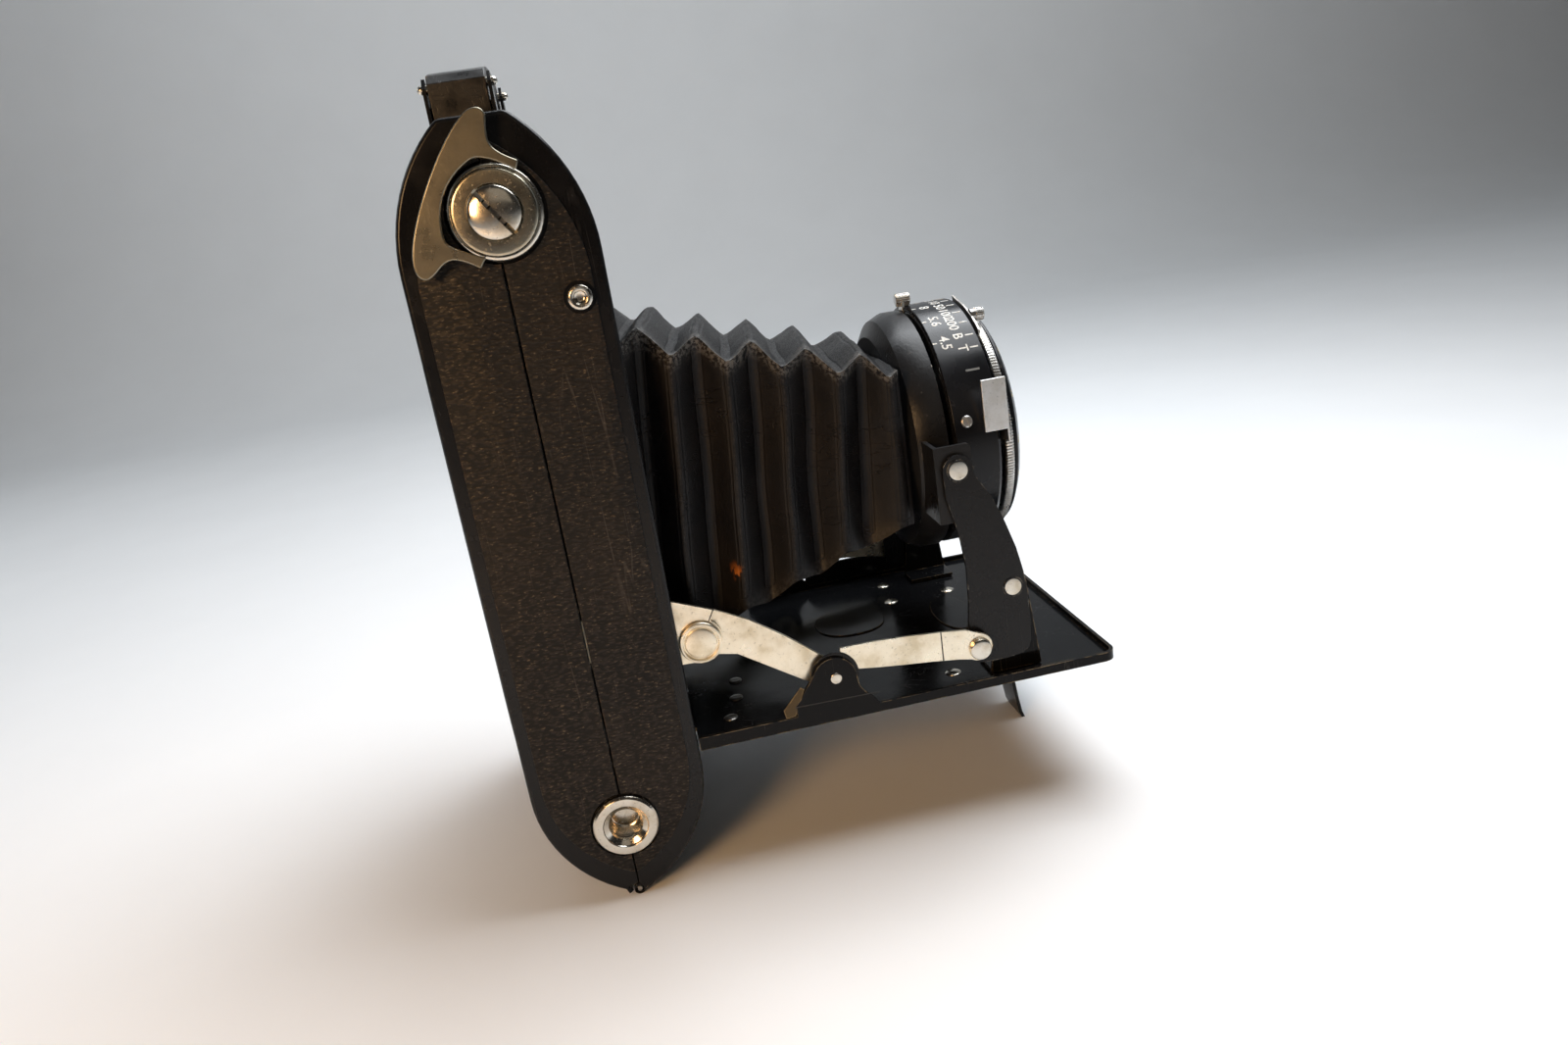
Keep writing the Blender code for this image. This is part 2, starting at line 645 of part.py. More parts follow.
def make_strap():
    pin_y, pin_z = STRAP_PIN
    holes = [circle((side * pin_y, pin_z), STRAP_PIN_RADIUS + GAP, 12) for side, _ in SIDES]
    finish(plate("strap", strap_outline(), *STRAP_X, "YZ", holes), LEATHER)
    for side, label in SIDES:
        pin_start = (STRAP_X[0] - 2.2, side * pin_y, pin_z)
        pin_end = (STRAP_X[1] + 2.2, side * pin_y, pin_z)
        finish(cylinder("strap_pin_" + label, pin_start, pin_end, STRAP_PIN_RADIUS, 16), NICKEL)
        low, high = sorted((side * (pin_y - 2.5), side * (pin_y + 2.5)))
        x_low, x_high = STRAP_X[0] - 1.0, STRAP_X[1] + 1.0
        lug = block("strap_lug_" + label, (x_low, x_high), (low, high), (TOP_SKIN, TOP_SKIN + 0.8))
        for x_start in (x_low, x_high - 0.7):
            ear = [(low, TOP_SKIN), (high, TOP_SKIN), (side * pin_y + 2.0, pin_z), (side * pin_y, pin_z + 2.0),
                   (side * pin_y - 2.0, pin_z)]
            join(lug, plate("ear", ear, x_start, x_start + 0.7, "YZ"))
        wall = sorted((side * (pin_y - 1.0), side * (pin_y - 0.3)))
        join(lug, block("web", (x_low, x_high), wall, (TOP_SKIN, 168.6)))
        cut(lug, cylinder("eye", (x_low - 1, side * pin_y, pin_z), (x_high + 1, side * pin_y, pin_z),
                          STRAP_PIN_RADIUS + GAP, 12))
        finish(lug, BLACK_PAINT)


# ---------------------------------------------------------------- finder on the far side

FINDER_Z = 82.0
FINDER_HINGES = {"finder_front": (15.0, 44.4), "finder_rear": (3.6, 44.4)}


def make_finder():
    """A folding frame finder: a base with two frames that lie flat and stand up on hinges."""
    base = block("finder_base", (1.4, 17.2), (42.5, 43.3), (FINDER_Z - 18.0, FINDER_Z + 18.0))
    reach = {"finder_front": (16.4, 24.0), "finder_rear": (5.6, 9.8)}
    for name, (hinge_x, hinge_y) in FINDER_HINGES.items():
        half, height = reach[name]
        for side in (-1, 1):
            edge = FINDER_Z + side * (half - 2.6)
            tip = FINDER_Z + side * (half - 4.6)
            width = (hinge_x - 0.9, hinge_x + 0.9)
            join(base, block("stand", width, (43.0, hinge_y + 0.8), sorted((edge, tip))))
            bar = cylinder("pin", (hinge_x, hinge_y, tip), (hinge_x, hinge_y, edge + side * 1.6), 0.45, 10)
            join(base, bar)
        sight_x = (hinge_x - height + 1.5, hinge_x + 3.0)
        sight_z = (FINDER_Z - half + 1.4, FINDER_Z + half - 1.4)
        outline = rectangle((hinge_x - height, hinge_x + 0.6), (FINDER_Z - half, FINDER_Z + half), 0.8)
        frame = plate(name, outline, hinge_y - 0.4, hinge_y + 0.4, "XZ")
        cut(frame, block("sight", sight_x, (40.0, 48.0), sight_z))
        for side in (-1, 1):
            outer = FINDER_Z + side * half
            inner = FINDER_Z + side * (half - 1.4)
            join(frame, cylinder("eye", (hinge_x, hinge_y, inner), (hinge_x, hinge_y, outer), 0.95, 16))
            ends = ((hinge_x, hinge_y, inner - side), (hinge_x, hinge_y, outer + side))
            cut(frame, cylinder("bore", *ends, 0.65, 12))
        finish(frame, NICKEL, (hinge_x, hinge_y, FINDER_Z))
    finish(base, BLACK_PAINT)


# ---------------------------------------------------------------- bed


def make_bed():
    """The baseboard: a shallow tray hinged to the body, with ears for the side links."""
    half = EAR_LAYER[1]
    corner = 3.0
    outer = [(BED_REAR, -half)] + arc((BED_FRONT - corner, -half + corner), corner, -90.0, 0.0, 5)
    outer += arc((BED_FRONT - corner, half - corner), corner, 0.0, 90.0, 5) + [(BED_REAR, half)]
    bed = plate("bed", outer, BED_BOTTOM, BED_RIM, "XY")
    inner_half = half - BED_SHEET
    radius = corner - BED_SHEET
    front = BED_FRONT - BED_SHEET
    inner = [(BED_REAR - 5.0, -inner_half)]
    inner += arc((front - radius, -inner_half + radius), radius, -90.0, 0.0, 5)
    inner += arc((front - radius, inner_half - radius), radius, 0.0, 90.0, 5)
    inner += [(BED_REAR - 5.0, inner_half)]
    cut(bed, plate("tray", inner, BED_FLOOR, BED_RIM + 1.0, "XY"))
    above_rim = (FRONT_RIM, BED_RIM + 5.0)
    cut(bed, block("low_rim", (FRONT_RIM_START, front + 5.0), (-half - 5.0, half + 5.0), above_rim))
    ear_x, ear_z = EAR_PIVOT
    for side in (NEAR, FAR):
        ear = [(41.0, 32.0), (59.9, 32.0), (58.5, 34.2), (56.8, 35.8), (55.7, 37.6)]
        ear += arc((ear_x - 0.3, ear_z), 4.9, 0.0, 160.0, 12) + [(43.6, 39.2), (42.3, 37.2), (41.0, 36.0)]
        join(bed, side_plate("ear", ear, EAR_LAYER, side))
        join(bed, across(EAR_PIVOT, side * (half - 0.4), side * 37.8, 1.2, 16, "ear_pin"))
    for low, high in ((-31.0, -11.0), (11.0, 31.0)):
        join(bed, across(BED_HINGE, low, high, 1.7, 24, "knuckle"))
        join(bed, block("tab", (BED_HINGE[0], BED_REAR + 1.0), (low, high), (BED_BOTTOM, BED_FLOOR)))
    cut(bed, across(BED_HINGE, -50.0, 50.0, 1.0, 16))
    foot_x, foot_z = FOOT_HINGE
    for low, high in FOOT_LUGS:
        lug = [(foot_x - 1.3, BED_BOTTOM + 0.3), (foot_x - 1.1, foot_z - 1.0), (foot_x + 1.1, foot_z - 1.0),
               (foot_x + 1.3, BED_BOTTOM + 0.3)]
        join(bed, plate("foot_lug", lug, low, high, "XZ"))
    cut(bed, across(FOOT_HINGE, -12.0, 15.0, 0.7, 12))
    finish(bed, BLACK_PAINT, on_axis(BED_HINGE))


def make_foot():
    """The hinged foot under the bed: a blade with a curled tip."""
    pin = across(FOOT_HINGE, FOOT_LUGS[0][0], FOOT_LUGS[1][1], 0.5, 10, "foot_pin")
    finish(pin, STEEL, on_axis(FOOT_HINGE))
    foot_x, foot_z = FOOT_HINGE
    back = [
        (foot_x, foot_z), (foot_x + 0.3, 22.0), (foot_x + 1.0, 14.0), (foot_x + 1.9, 6.0),
        (foot_x + 2.6, 1.6), (foot_x + 3.2, 0.0),
    ]
    front = [(x + 0.9, z) for x, z in reversed(back[1:])]
    blade = plate("foot", back + front + [(foot_x + 0.9, foot_z)], *FOOT_Y, "XZ")
    join(blade, across(FOOT_HINGE, *FOOT_Y, 1.05, 16, "curl"))
    cut(blade, across(FOOT_HINGE, -12.0, 15.0, 0.75, 12))
    finish(blade, BLACK_PAINT, on_axis(FOOT_HINGE))


def make_strut_brackets():
    """Angle brackets on the bed that carry the pivots of the lens struts."""
    x, z = STRUT_PIVOT
    for side, label in SIDES:
        outline = [(x - 6.5, BED_FLOOR + GAP), (x + 5.5, BED_FLOOR + GAP)] + arc((x, z), 3.6, 0.0, 180.0, 8)
        bracket = side_plate("strut_bracket_" + label, outline, LUG_LAYER, side)
        low, high = sorted((side * 28.0, side * LUG_LAYER[1]))
        join(bracket, block("base", (x - 6.5, x + 5.5), (low, high), (BED_FLOOR + GAP, BED_FLOOR + 1.1)))
        cut(bracket, across(STRUT_PIVOT, side * 30.0, side * 45.0, 1.6, 16))
        finish(bracket, BLACK_PAINT, on_axis(BED_HINGE))


# ---------------------------------------------------------------- links and struts


def make_links():
    """The polished links on both sides that hold the bed open, and the links that push the struts."""
    knee_x, knee_z = KNEE
    ear_x, ear_z = EAR_PIVOT
    pivot_x, pivot_z = BODY_LINK_PIVOT
    push_x, push_z = PUSH_PIVOT
    for side, label in SIDES:
        body_link = arc((pivot_x, pivot_z), 3.6, 100.0, 260.0, 8)
        body_link += [(17.9, 50.6)] + arc((knee_x, knee_z), 5.0, -115.0, 55.0, 10)
        body_link += [(27.0, 61.4), (18.2, 65.2)]
        link = side_plate("body_link_" + label, body_link, LINK_LAYER, side,
                          [circle(BODY_LINK_PIVOT, 1.5, 12), circle(KNEE, 1.5, 12)])
        finish(link, NICKEL, on_axis(BODY_LINK_PIVOT))
        rivet = [
            (0.0, 0.8), (3.3, 0.8), (3.6, 0.45), (3.8, 0.45), (4.0, 0.7), (4.4, 0.7), (4.6, 0.4),
            (4.6, 0.0), (1.2, 0.0), (1.2, -0.9), (0.0, -0.9),
        ]
        rivet = turned("knee_rivet_" + label, rivet, (knee_x, side * EAR_LAYER[0], knee_z), (0, side, 0), 20)
        finish(rivet, NICKEL, on_axis(BODY_LINK_PIVOT))
        brace = arc((knee_x, knee_z), 4.6, 110.0, 300.0, 10) + [(30.6, 49.9), (44.0, 40.6)]
        brace += arc((ear_x, ear_z), 3.2, -110.0, 45.0, 8)
        brace += [(48.5, 45.6), (41.3, 51.9), (34.0, 57.3), (27.2, 61.0)]
        brace = side_plate("brace_link_" + label, brace, BRACE_LAYER, side, [circle(EAR_PIVOT, 1.5, 12)])
        finish(brace, NICKEL, on_axis(EAR_PIVOT))
        push = [(52.6, 41.3), (56.2, 41.0), (60.0, 40.4), (66.3, 39.6), (72.6, 38.9), (79.0, 38.0)]
        push += arc((push_x - 0.3, push_z + 0.4), 3.3, -125.0, 75.0, 10)
        push += [(81.2, 44.7), (75.6, 45.4), (67.0, 46.2), (60.3, 46.6), (52.6, 46.7)]
        push = side_plate("push_link_" + label, push, LINK_LAYER, side)
        join(push, across(PUSH_PIVOT, side * EAR_LAYER[0] - side * 0.5, side * 40.4, 2.5, 24, "rivet_head"))
        join(push, across(PUSH_PIVOT, side * 39.2, side * (STRUT_LAYER[1] + GAP), 1.3, 16, "rivet_shank"))
        finish(push, NICKEL, on_axis(PUSH_PIVOT))


def make_lens_struts():
    """The black struts that carry the lens standard on the bed's brackets."""
    for side, label in SIDES:
        outline = arc(STANDARD_PIVOT, 3.5, -20.0, 175.0, 10)
        outline += [(80.7, 74.6), (81.9, 69.6), (82.9, 64.5), (83.5, 58.2), (83.3, 50.8), (82.4, 42.1)]
        outline += [(82.2, 37.6), (82.6, 36.2), (83.8, 35.4), (86.0, 35.0), (91.0, 34.9), (94.8, 35.4)]
        outline += [(96.2, 36.4), (96.8, 38.0), (97.1, 43.0), (97.0, 49.1), (96.5, 54.9), (95.3, 60.7)]
        outline += [(93.4, 66.8), (91.0, 73.1)]
        strut = side_plate("lens_strut_" + label, outline, STRUT_LAYER, side)
        for pivot, radius in ((STANDARD_PIVOT, 2.5), (STRUT_PIVOT, 2.3)):
            join(strut, across(pivot, side * 37.2, side * STRUT_HEAD, radius, 24, "head"))
            join(strut, across(pivot, side * 35.3, side * 37.2, 1.3, 16, "pin"))
        finish(strut, BLACK_PAINT, on_axis(STRUT_PIVOT))


# ---------------------------------------------------------------- lens standard and shutter

LENS_AXIS = (1, 0, 0)


def lens_point(x):
    return (x, 0.0, LENS_Z)


def ring_sector(name, inner, outer, start, end, low, high, steps=16):
    """A piece of a flat ring round the lens axis; angles run from the top towards the near side."""
    def at(radius, angle):
        return (-radius * math.sin(math.radians(angle)), LENS_Z + radius * math.cos(math.radians(angle)))
    angles = [start + (end - start) * i / steps for i in range(steps + 1)]
    outline = [at(outer, angle) for angle in angles] + [at(inner, angle) for angle in reversed(angles)]
    return plate(name, outline, low, high, "YZ")


def make_lens_standard():
    """The dished plate that holds the shutter, with a lug on each side for the struts."""
    radius = STANDARD_RADIUS
    profile = [(radius - 1.2, 8.7), (radius, 8.7), (radius, 5.0), (radius - 1.4, 2.0), (radius - 5.0, 0.0),
               (14.3, 0.0), (14.3, 1.2), (radius - 5.2, 1.2), (radius - 2.4, 2.8), (radius - 1.2, 5.4)]
    standard = turned("lens_standard", profile, lens_point(76.5), LENS_AXIS, 48)
    pivot_x, pivot_z = STANDARD_PIVOT
    for side in (NEAR, FAR):
        low, high = sorted((side * 24.0, side * LUG_LAYER[1]))
        web = block("web", (CHEEK_REAR, CHEEK_REAR + 1.0), (low, high), (pivot_z - 11.8, pivot_z + 5.4))
        join(standard, web)
        cheek = rectangle((CHEEK_REAR, pivot_x + 3.6), (pivot_z - 11.8, pivot_z + 5.4), 1.2)
        join(standard, side_plate("cheek", cheek, LUG_LAYER, side))
        cut(standard, across(STANDARD_PIVOT, side * 34.0, side * 40.0, 1.6, 16))
    finish(standard, BLACK_PAINT, on_axis(STANDARD_PIVOT))


def make_shutter():
    """The shutter's case with its scale strip, the rings round it and the lens cells."""
    pivot = on_axis(STANDARD_PIVOT)
    case = [(14.5, 98.0), (22.0, 98.0), (26.0, 97.4), (DRUM_RADIUS, 97.4), (DRUM_RADIUS, 86.6), (14.0, 86.6),
            (14.0, 76.7), (12.4, 76.7), (12.4, 101.0), (14.5, 101.0)]
    finish(turned("shutter_case", case, (0.0, 0.0, LENS_Z), LENS_AXIS, 48), BLACK_PAINT, pivot)
    strip = ring_sector("scale_strip", DRUM_RADIUS + 0.25, SCALE_RADIUS, -84.0, 84.0, 86.6, 97.4, 36)
    finish(strip, BLACK_PAINT, pivot)
    rear = [(0.0, 79.6), (9.6, 79.0), (12.0, 79.0), (12.0, 77.0), (9.4, 77.0), (0.0, 77.6)]
    finish(turned("rear_lens", rear, (0.0, 0.0, LENS_Z), LENS_AXIS, 28), GLASS, pivot)
    speed = [(14.9, 100.9), (26.7, 100.9), (27.3, 100.5), (27.3, 98.8), (14.9, 98.8)]
    finish(turned("speed_ring", speed, (0.0, 0.0, LENS_Z), LENS_AXIS, 48), NICKEL, lens_point(99.8))
    focus = [(13.5, 105.8), (17.0, 105.8), (18.6, 105.0), (24.2, 103.2), (26.2, 102.0), (26.2, 101.3),
             (12.9, 101.3), (12.9, 103.2), (11.6, 103.2)]
    finish(turned("focus_ring", focus, (0.0, 0.0, LENS_Z), LENS_AXIS, 48), BLACK_PAINT, lens_point(102.0))
    front = [(0.0, 103.0), (4.0, 102.8), (8.0, 102.2), (11.3, 101.3), (11.3, 99.6), (0.0, 99.6)]
    finish(turned("front_lens", front, (0.0, 0.0, LENS_Z), LENS_AXIS, 28), GLASS, lens_point(102.0))


COCKING_KNOB = (-12.2, 109.2)
RELEASE_PIVOT = (-22.5, 84.5)


def make_shutter_levers():
    """The cocking lever, the release lever and the aperture lever."""
    cocking = ring_sector("cocking_lever", 15.0, 18.0, 0.0, 359.0, 98.15, 98.6, 40)
    join(cocking, ring_sector("gap_filler", 15.5, 17.5, -10.0, 10.0, 98.15, 98.6, 6))
    join(cocking, ring_sector("arm", 17.0, 29.9, 4.0, 37.0, 98.15, 98.6, 10))
    tip_y, tip_z = -1.0, 113.0
    tip = [(tip_y, tip_z), (-2.0, 108.0), (-12.0, 106.0), (-9.0, 110.8)]
    join(cocking, plate("tip", tip, 98.15, 98.6, "YZ"))
    knob_y, knob_z = COCKING_KNOB
    join(cocking, cylinder("knob", (98.3, knob_y, knob_z), (101.4, knob_y, knob_z), 1.45, 16))
    finish(cocking, STEEL, lens_point(98.4))
    pivot_y, pivot_z = RELEASE_PIVOT
    release = block("release_lever", (93.0, 98.6), (-31.2, -30.5), (86.0, 97.6))
    join(release, block("arm", (98.15, 98.6), (-31.2, -21.0), (83.0, 88.0)))
    finish(release, STEEL, (98.3, pivot_y, pivot_z))
    aperture = ring_sector("aperture_lever", 14.6, 17.0, 0.0, 359.0, 85.55, 86.2, 40)
    join(aperture, ring_sector("gap_filler", 15.0, 16.6, -10.0, 10.0, 85.55, 86.2, 6))
    join(aperture, block("arm", (85.55, 86.2), (-1.6, 1.6), (LENS_Z + 15.5, 114.0)))
    join(aperture, cylinder("knob", (84.5, 0.0, 113.9), (87.8, 0.0, 113.9), 1.45, 16))
    finish(aperture, NICKEL, lens_point(85.9))


BELLOWS_REAR = -13.3
BELLOWS_FRONT = 76.2


def make_bellows():
    """The folded leather bellows as one plain tapered block between the gate and the standard."""
    mesh = bpy.data.meshes.new("bellows")
    work = bmesh.new()
    bmesh.ops.create_cube(work, size=1.0)
    ends = {False: (BELLOWS_REAR, 33.0, 41.0, 126.5), True: (BELLOWS_FRONT, 26.5, 67.0, 105.0)}
    for vertex in work.verts:
        x, half, low, high = ends[vertex.co.x > 0]
        vertex.co = Vector((x, math.copysign(half, vertex.co.y), high if vertex.co.z > 0 else low)) * MM
    work.to_mesh(mesh)
    work.free()
    finish(link_mesh("bellows", mesh), LEATHER)


make_body_shell()
make_back_cover()
make_cover_hinge_pin()
make_film_gate()
make_film_rollers()
make_bed_hinge_pin()
make_tripod_bush()
make_spool_studs()
make_spool("supply_spool", SUPPLY_AXIS)
make_release_button()
make_winder()
make_wing_key()
make_cover_fittings()
make_window_shutter()
make_back_latch()
make_strap()
make_finder()
make_bed()
make_foot()
make_strut_brackets()
make_links()
make_lens_struts()
make_lens_standard()
make_shutter()
make_shutter_levers()
make_bellows()
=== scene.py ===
"""The looks of a folding roll-film camera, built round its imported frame.

Lengths are in millimetres in the camera's own frame: X is the lens direction with the body's
seam at X = 0, Y runs across the body with the winding key at -Y, and Z is up from the ground.
"""

import json
from math import acos, copysign, cos, degrees, hypot, pi, radians, sin

import bmesh
import bpy
from mathutils import Matrix, Vector, noise


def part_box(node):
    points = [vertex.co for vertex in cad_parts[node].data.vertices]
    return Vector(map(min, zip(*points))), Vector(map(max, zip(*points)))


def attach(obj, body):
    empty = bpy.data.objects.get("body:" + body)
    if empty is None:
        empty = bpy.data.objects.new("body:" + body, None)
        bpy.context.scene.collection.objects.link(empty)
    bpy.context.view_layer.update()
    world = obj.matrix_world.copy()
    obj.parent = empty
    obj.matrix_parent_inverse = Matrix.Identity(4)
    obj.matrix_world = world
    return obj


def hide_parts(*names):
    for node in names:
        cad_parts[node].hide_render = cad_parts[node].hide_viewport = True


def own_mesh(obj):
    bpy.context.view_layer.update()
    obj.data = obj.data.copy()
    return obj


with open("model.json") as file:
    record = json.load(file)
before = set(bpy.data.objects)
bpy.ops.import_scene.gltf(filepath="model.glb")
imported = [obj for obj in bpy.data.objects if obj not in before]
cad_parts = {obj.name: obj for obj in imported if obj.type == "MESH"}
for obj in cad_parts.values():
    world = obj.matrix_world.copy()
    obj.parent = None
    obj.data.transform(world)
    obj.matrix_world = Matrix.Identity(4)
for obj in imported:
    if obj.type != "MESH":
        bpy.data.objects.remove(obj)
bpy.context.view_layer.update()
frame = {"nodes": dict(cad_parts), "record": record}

SCENE = bpy.context.scene
MM = 0.001
NEAR = -1
FAR = 1
SIDES = ((NEAR, "near"), (FAR, "far"))
BODY_OF = {node: body for body, nodes in frame["record"]["behaviour"]["bodies"].items() for node in nodes}


def middle(node):
    low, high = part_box(node)
    return (Vector(low) + Vector(high)) / 2


# The seam and the middle plane of the body, and the ground.
ORIGIN = Vector((middle("spool_stud_lower").x, middle("film_gate").y, 0.0))


def place(*point):
    """A point of the camera's own frame in metres."""
    return ORIGIN + Vector(point) * MM


def centre(node):
    """The middle of a CAD piece in the camera's own frame."""
    return (middle(node) - ORIGIN) / MM


def corners(node):
    low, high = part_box(node)
    return (Vector(low) - ORIGIN) / MM, (Vector(high) - ORIGIN) / MM


HALF_DEPTH = corners("body_shell")[1].x
HALF_WIDTH = corners("body_shell")[1].y
WINDER = centre("wind_knob")
SUPPLY = centre("tripod_bush")
BUTTON = centre("release_button")
KNEE = centre("knee_rivet_near")
LENS = centre("speed_ring")
BED_FLOOR = 31.2
DRUM_RADIUS = 29.8
LEATHER_THICK = 0.45


# ---- shader nodes


def add(tree, kind, inputs=(), **settings):
    """A shader node with its settings, and its inputs set or linked by name."""
    made = tree.nodes.new("ShaderNode" + kind)
    for name, value in settings.items():
        setattr(made, name, value)
    for key, value in dict(inputs).items():
        if isinstance(value, bpy.types.NodeSocket):
            tree.links.new(value, made.inputs[key])
        else:
            made.inputs[key].default_value = value
    return made


def calc(tree, operation, first, second=0.0):
    return add(tree, "Math", {0: first, 1: second}, operation=operation).outputs[0]


def plus(tree, first, second):
    return calc(tree, "ADD", first, second)


def times(tree, first, second):
    return calc(tree, "MULTIPLY", first, second)


def apart(tree, value, level):
    """How far a value lies from a level, above or below."""
    return calc(tree, "ABSOLUTE", calc(tree, "SUBTRACT", value, level))


def remap(tree, value, low, high, to_low=0.0, to_high=1.0):
    """A value from low..high taken smoothly to to_low..to_high."""
    inputs = {
        "Value": value, "From Min": low, "From Max": high, "To Min": to_low, "To Max": to_high,
    }
    return add(tree, "MapRange", inputs, interpolation_type="SMOOTHSTEP").outputs["Result"]


def blend_colour(tree, share, first, second):
    """A colour between two colours or sockets."""
    def as_input(colour):
        return colour if isinstance(colour, bpy.types.NodeSocket) else (*colour, 1.0)
    inputs = {0: share, 6: as_input(first), 7: as_input(second)}
    return add(tree, "Mix", inputs, data_type="RGBA").outputs[2]


def marked(tree, colour, mask, share, mark):
    """A colour with marks over it where the mask is, as strong as the share."""
    return blend_colour(tree, times(tree, mask, share), colour, mark)


def scaled(colour, share):
    return tuple(value * share for value in colour)


EVEN = (1.0, 1.0, 1.0)
UNTURNED = (0.0, 0.0, 0.0)


def stretched(tree, factors, turn):
    """Object coordinates, turned by degrees and scaled along each axis."""
    coords = add(tree, "TexCoord").outputs["Object"]
    angles = tuple(radians(angle) for angle in turn)
    inputs = {"Vector": coords, "Rotation": angles, "Scale": factors}
    return add(tree, "Mapping", inputs).outputs["Vector"]


def clouds(tree, per_metre, detail=4.0, factors=EVEN, turn=UNTURNED, rough=0.55, warp=0.0):
    """Noise with that many features to the metre."""
    inputs = {
        "Vector": stretched(tree, factors, turn), "Scale": per_metre, "Detail": detail,
        "Roughness": rough, "Distortion": warp,
    }
    return add(tree, "TexNoise", inputs).outputs["Fac"]


def spots(tree, low, high, *noise_settings):
    """Noise that is nought below low and one above high."""
    return remap(tree, clouds(tree, *noise_settings), low, high)


def cells(tree, per_metre, factors, warp, feature, turn=UNTURNED):
    """Distance to the nearest cell point or cell edge, with the cells bent by noise."""
    vector = stretched(tree, factors, turn)
    bend = add(tree, "TexNoise", {"Vector": vector, "Scale": per_metre * 0.6, "Detail": 2.0})
    bend_inputs = {0: bend.outputs["Color"], "Scale": warp / per_metre}
    shift = add(tree, "VectorMath", bend_inputs, operation="SCALE").outputs[0]
    vector = add(tree, "VectorMath", {0: vector, 1: shift}, operation="ADD").outputs[0]
    inputs = {"Vector": vector, "Scale": per_metre}
    return add(tree, "TexVoronoi", inputs, feature=feature).outputs["Distance"]


def edge_mask(tree, radius):
    """One at the outer edges of a piece and nought on its faces."""
    rounded_normal = add(tree, "Bevel", {"Radius": radius * MM}, samples=4).outputs["Normal"]
    true_normal = add(tree, "NewGeometry").outputs["True Normal"]
    both = {0: rounded_normal, 1: true_normal}
    along = add(tree, "VectorMath", both, operation="DOT_PRODUCT").outputs["Value"]
    return remap(tree, calc(tree, "SUBTRACT", 1.0, along), 0.004, 0.08)


def coordinate(tree, axis):
    """One coordinate of the camera's own frame, in millimetres."""
    coords = add(tree, "TexCoord").outputs["Object"]
    value = add(tree, "SeparateXYZ", {0: coords}).outputs[axis]
    offset = calc(tree, "SUBTRACT", value, ORIGIN["XYZ".index(axis)])
    return calc(tree, "DIVIDE", offset, MM)


def scratches(tree, per_metre, turn, width=0.012):
    """Long thin lines, as one on the line and nought beside it."""
    value = clouds(tree, per_metre, 2.0, (1.0, 1.0, 0.04), turn, 0.5, 0.3)
    line = remap(tree, apart(tree, value, 0.5), 0.0, width, 1.0, 0.0)
    return times(tree, line, spots(tree, 0.5, 0.62, 70.0))


def new_look(name, **constants):
    """A material with a Principled shader whose named sockets hold constants."""
    made = bpy.data.materials.new(name)
    made.use_nodes = True
    shader = made.node_tree.nodes["Principled BSDF"]
    for key, value in constants.items():
        shader.inputs[key.replace("_", " ").title().replace("Ior", "IOR")].default_value = value
    return made, made.node_tree, shader


def finish(shader, colour, roughness, normal):
    links = shader.id_data.links
    for name, value in (("Base Color", colour), ("Roughness", roughness), ("Normal", normal)):
        links.new(value, shader.inputs[name])


def bump(tree, height, distance, strength=1.0, under=None):
    inputs = {"Height": height, "Distance": distance * MM, "Strength": strength}
    if under is not None:
        inputs["Normal"] = under
    return add(tree, "Bump", inputs).outputs["Normal"]


# ---- finishes


def enamel(name, base, rough, worn=(0.30, 0.27, 0.22), wear=(0.52, 0.66), grain=0.02, gloss=0.24):
    """Black stoved enamel with a faint orange peel, dust, hairlines and edges rubbed to the metal."""
    made, tree, shader = new_look(name, specular_ior_level=gloss)
    patches = clouds(tree, 90.0, 5.0)
    dust = spots(tree, 0.66, 0.78, 2600.0, 2.0)
    hair = scratches(tree, 300.0, (0.0, 20.0, 0.0))
    rubbed = times(tree, edge_mask(tree, 0.3), spots(tree, *wear, 420.0))
    colour = blend_colour(tree, patches, base, scaled(base, 1.9))
    colour = marked(tree, colour, dust, 0.07, (0.24, 0.23, 0.21))
    colour = marked(tree, colour, hair, 0.10, (0.16, 0.15, 0.14))
    colour = blend_colour(tree, rubbed, colour, worn)
    roughness = remap(tree, patches, 0.3, 0.75, *rough)
    roughness = plus(tree, roughness, times(tree, hair, 0.2))
    peel = bump(tree, clouds(tree, 1300.0, 3.0), grain, 0.35)
    tree.links.new(times(tree, rubbed, 0.8), shader.inputs["Metallic"])
    finish(shader, colour, roughness, bump(tree, hair, 0.01, -0.3, peel))
    return made


def plated(name, base, rough, tarnish, grain=0.0, brushed=EVEN):
    """Plated or rolled metal with cloudy tarnish, pits, brush marks and hairlines."""
    made, tree, shader = new_look(name)
    patches = clouds(tree, 160.0, 6.0, rough=0.62)
    specks = spots(tree, 0.60, 0.74, 1500.0, 3.0)
    marks = clouds(tree, 1800.0, 3.0, brushed)
    hair = scratches(tree, 340.0, (0.0, 35.0, 0.0))
    colour = blend_colour(tree, remap(tree, patches, 0.42, 0.72), base, tarnish)
    colour = marked(tree, colour, specks, 0.45, scaled(base, 0.4))
    colour = marked(tree, colour, marks, 0.18, scaled(base, 0.6))
    roughness = remap(tree, patches, 0.3, 0.75, *rough)
    roughness = plus(tree, roughness, times(tree, specks, 0.25))
    fine = bump(tree, marks, 0.012 + grain, 0.4)
    finish(shader, colour, roughness, bump(tree, hair, 0.02, -0.5, fine))
    shader.inputs["Metallic"].default_value = 1.0
    return made


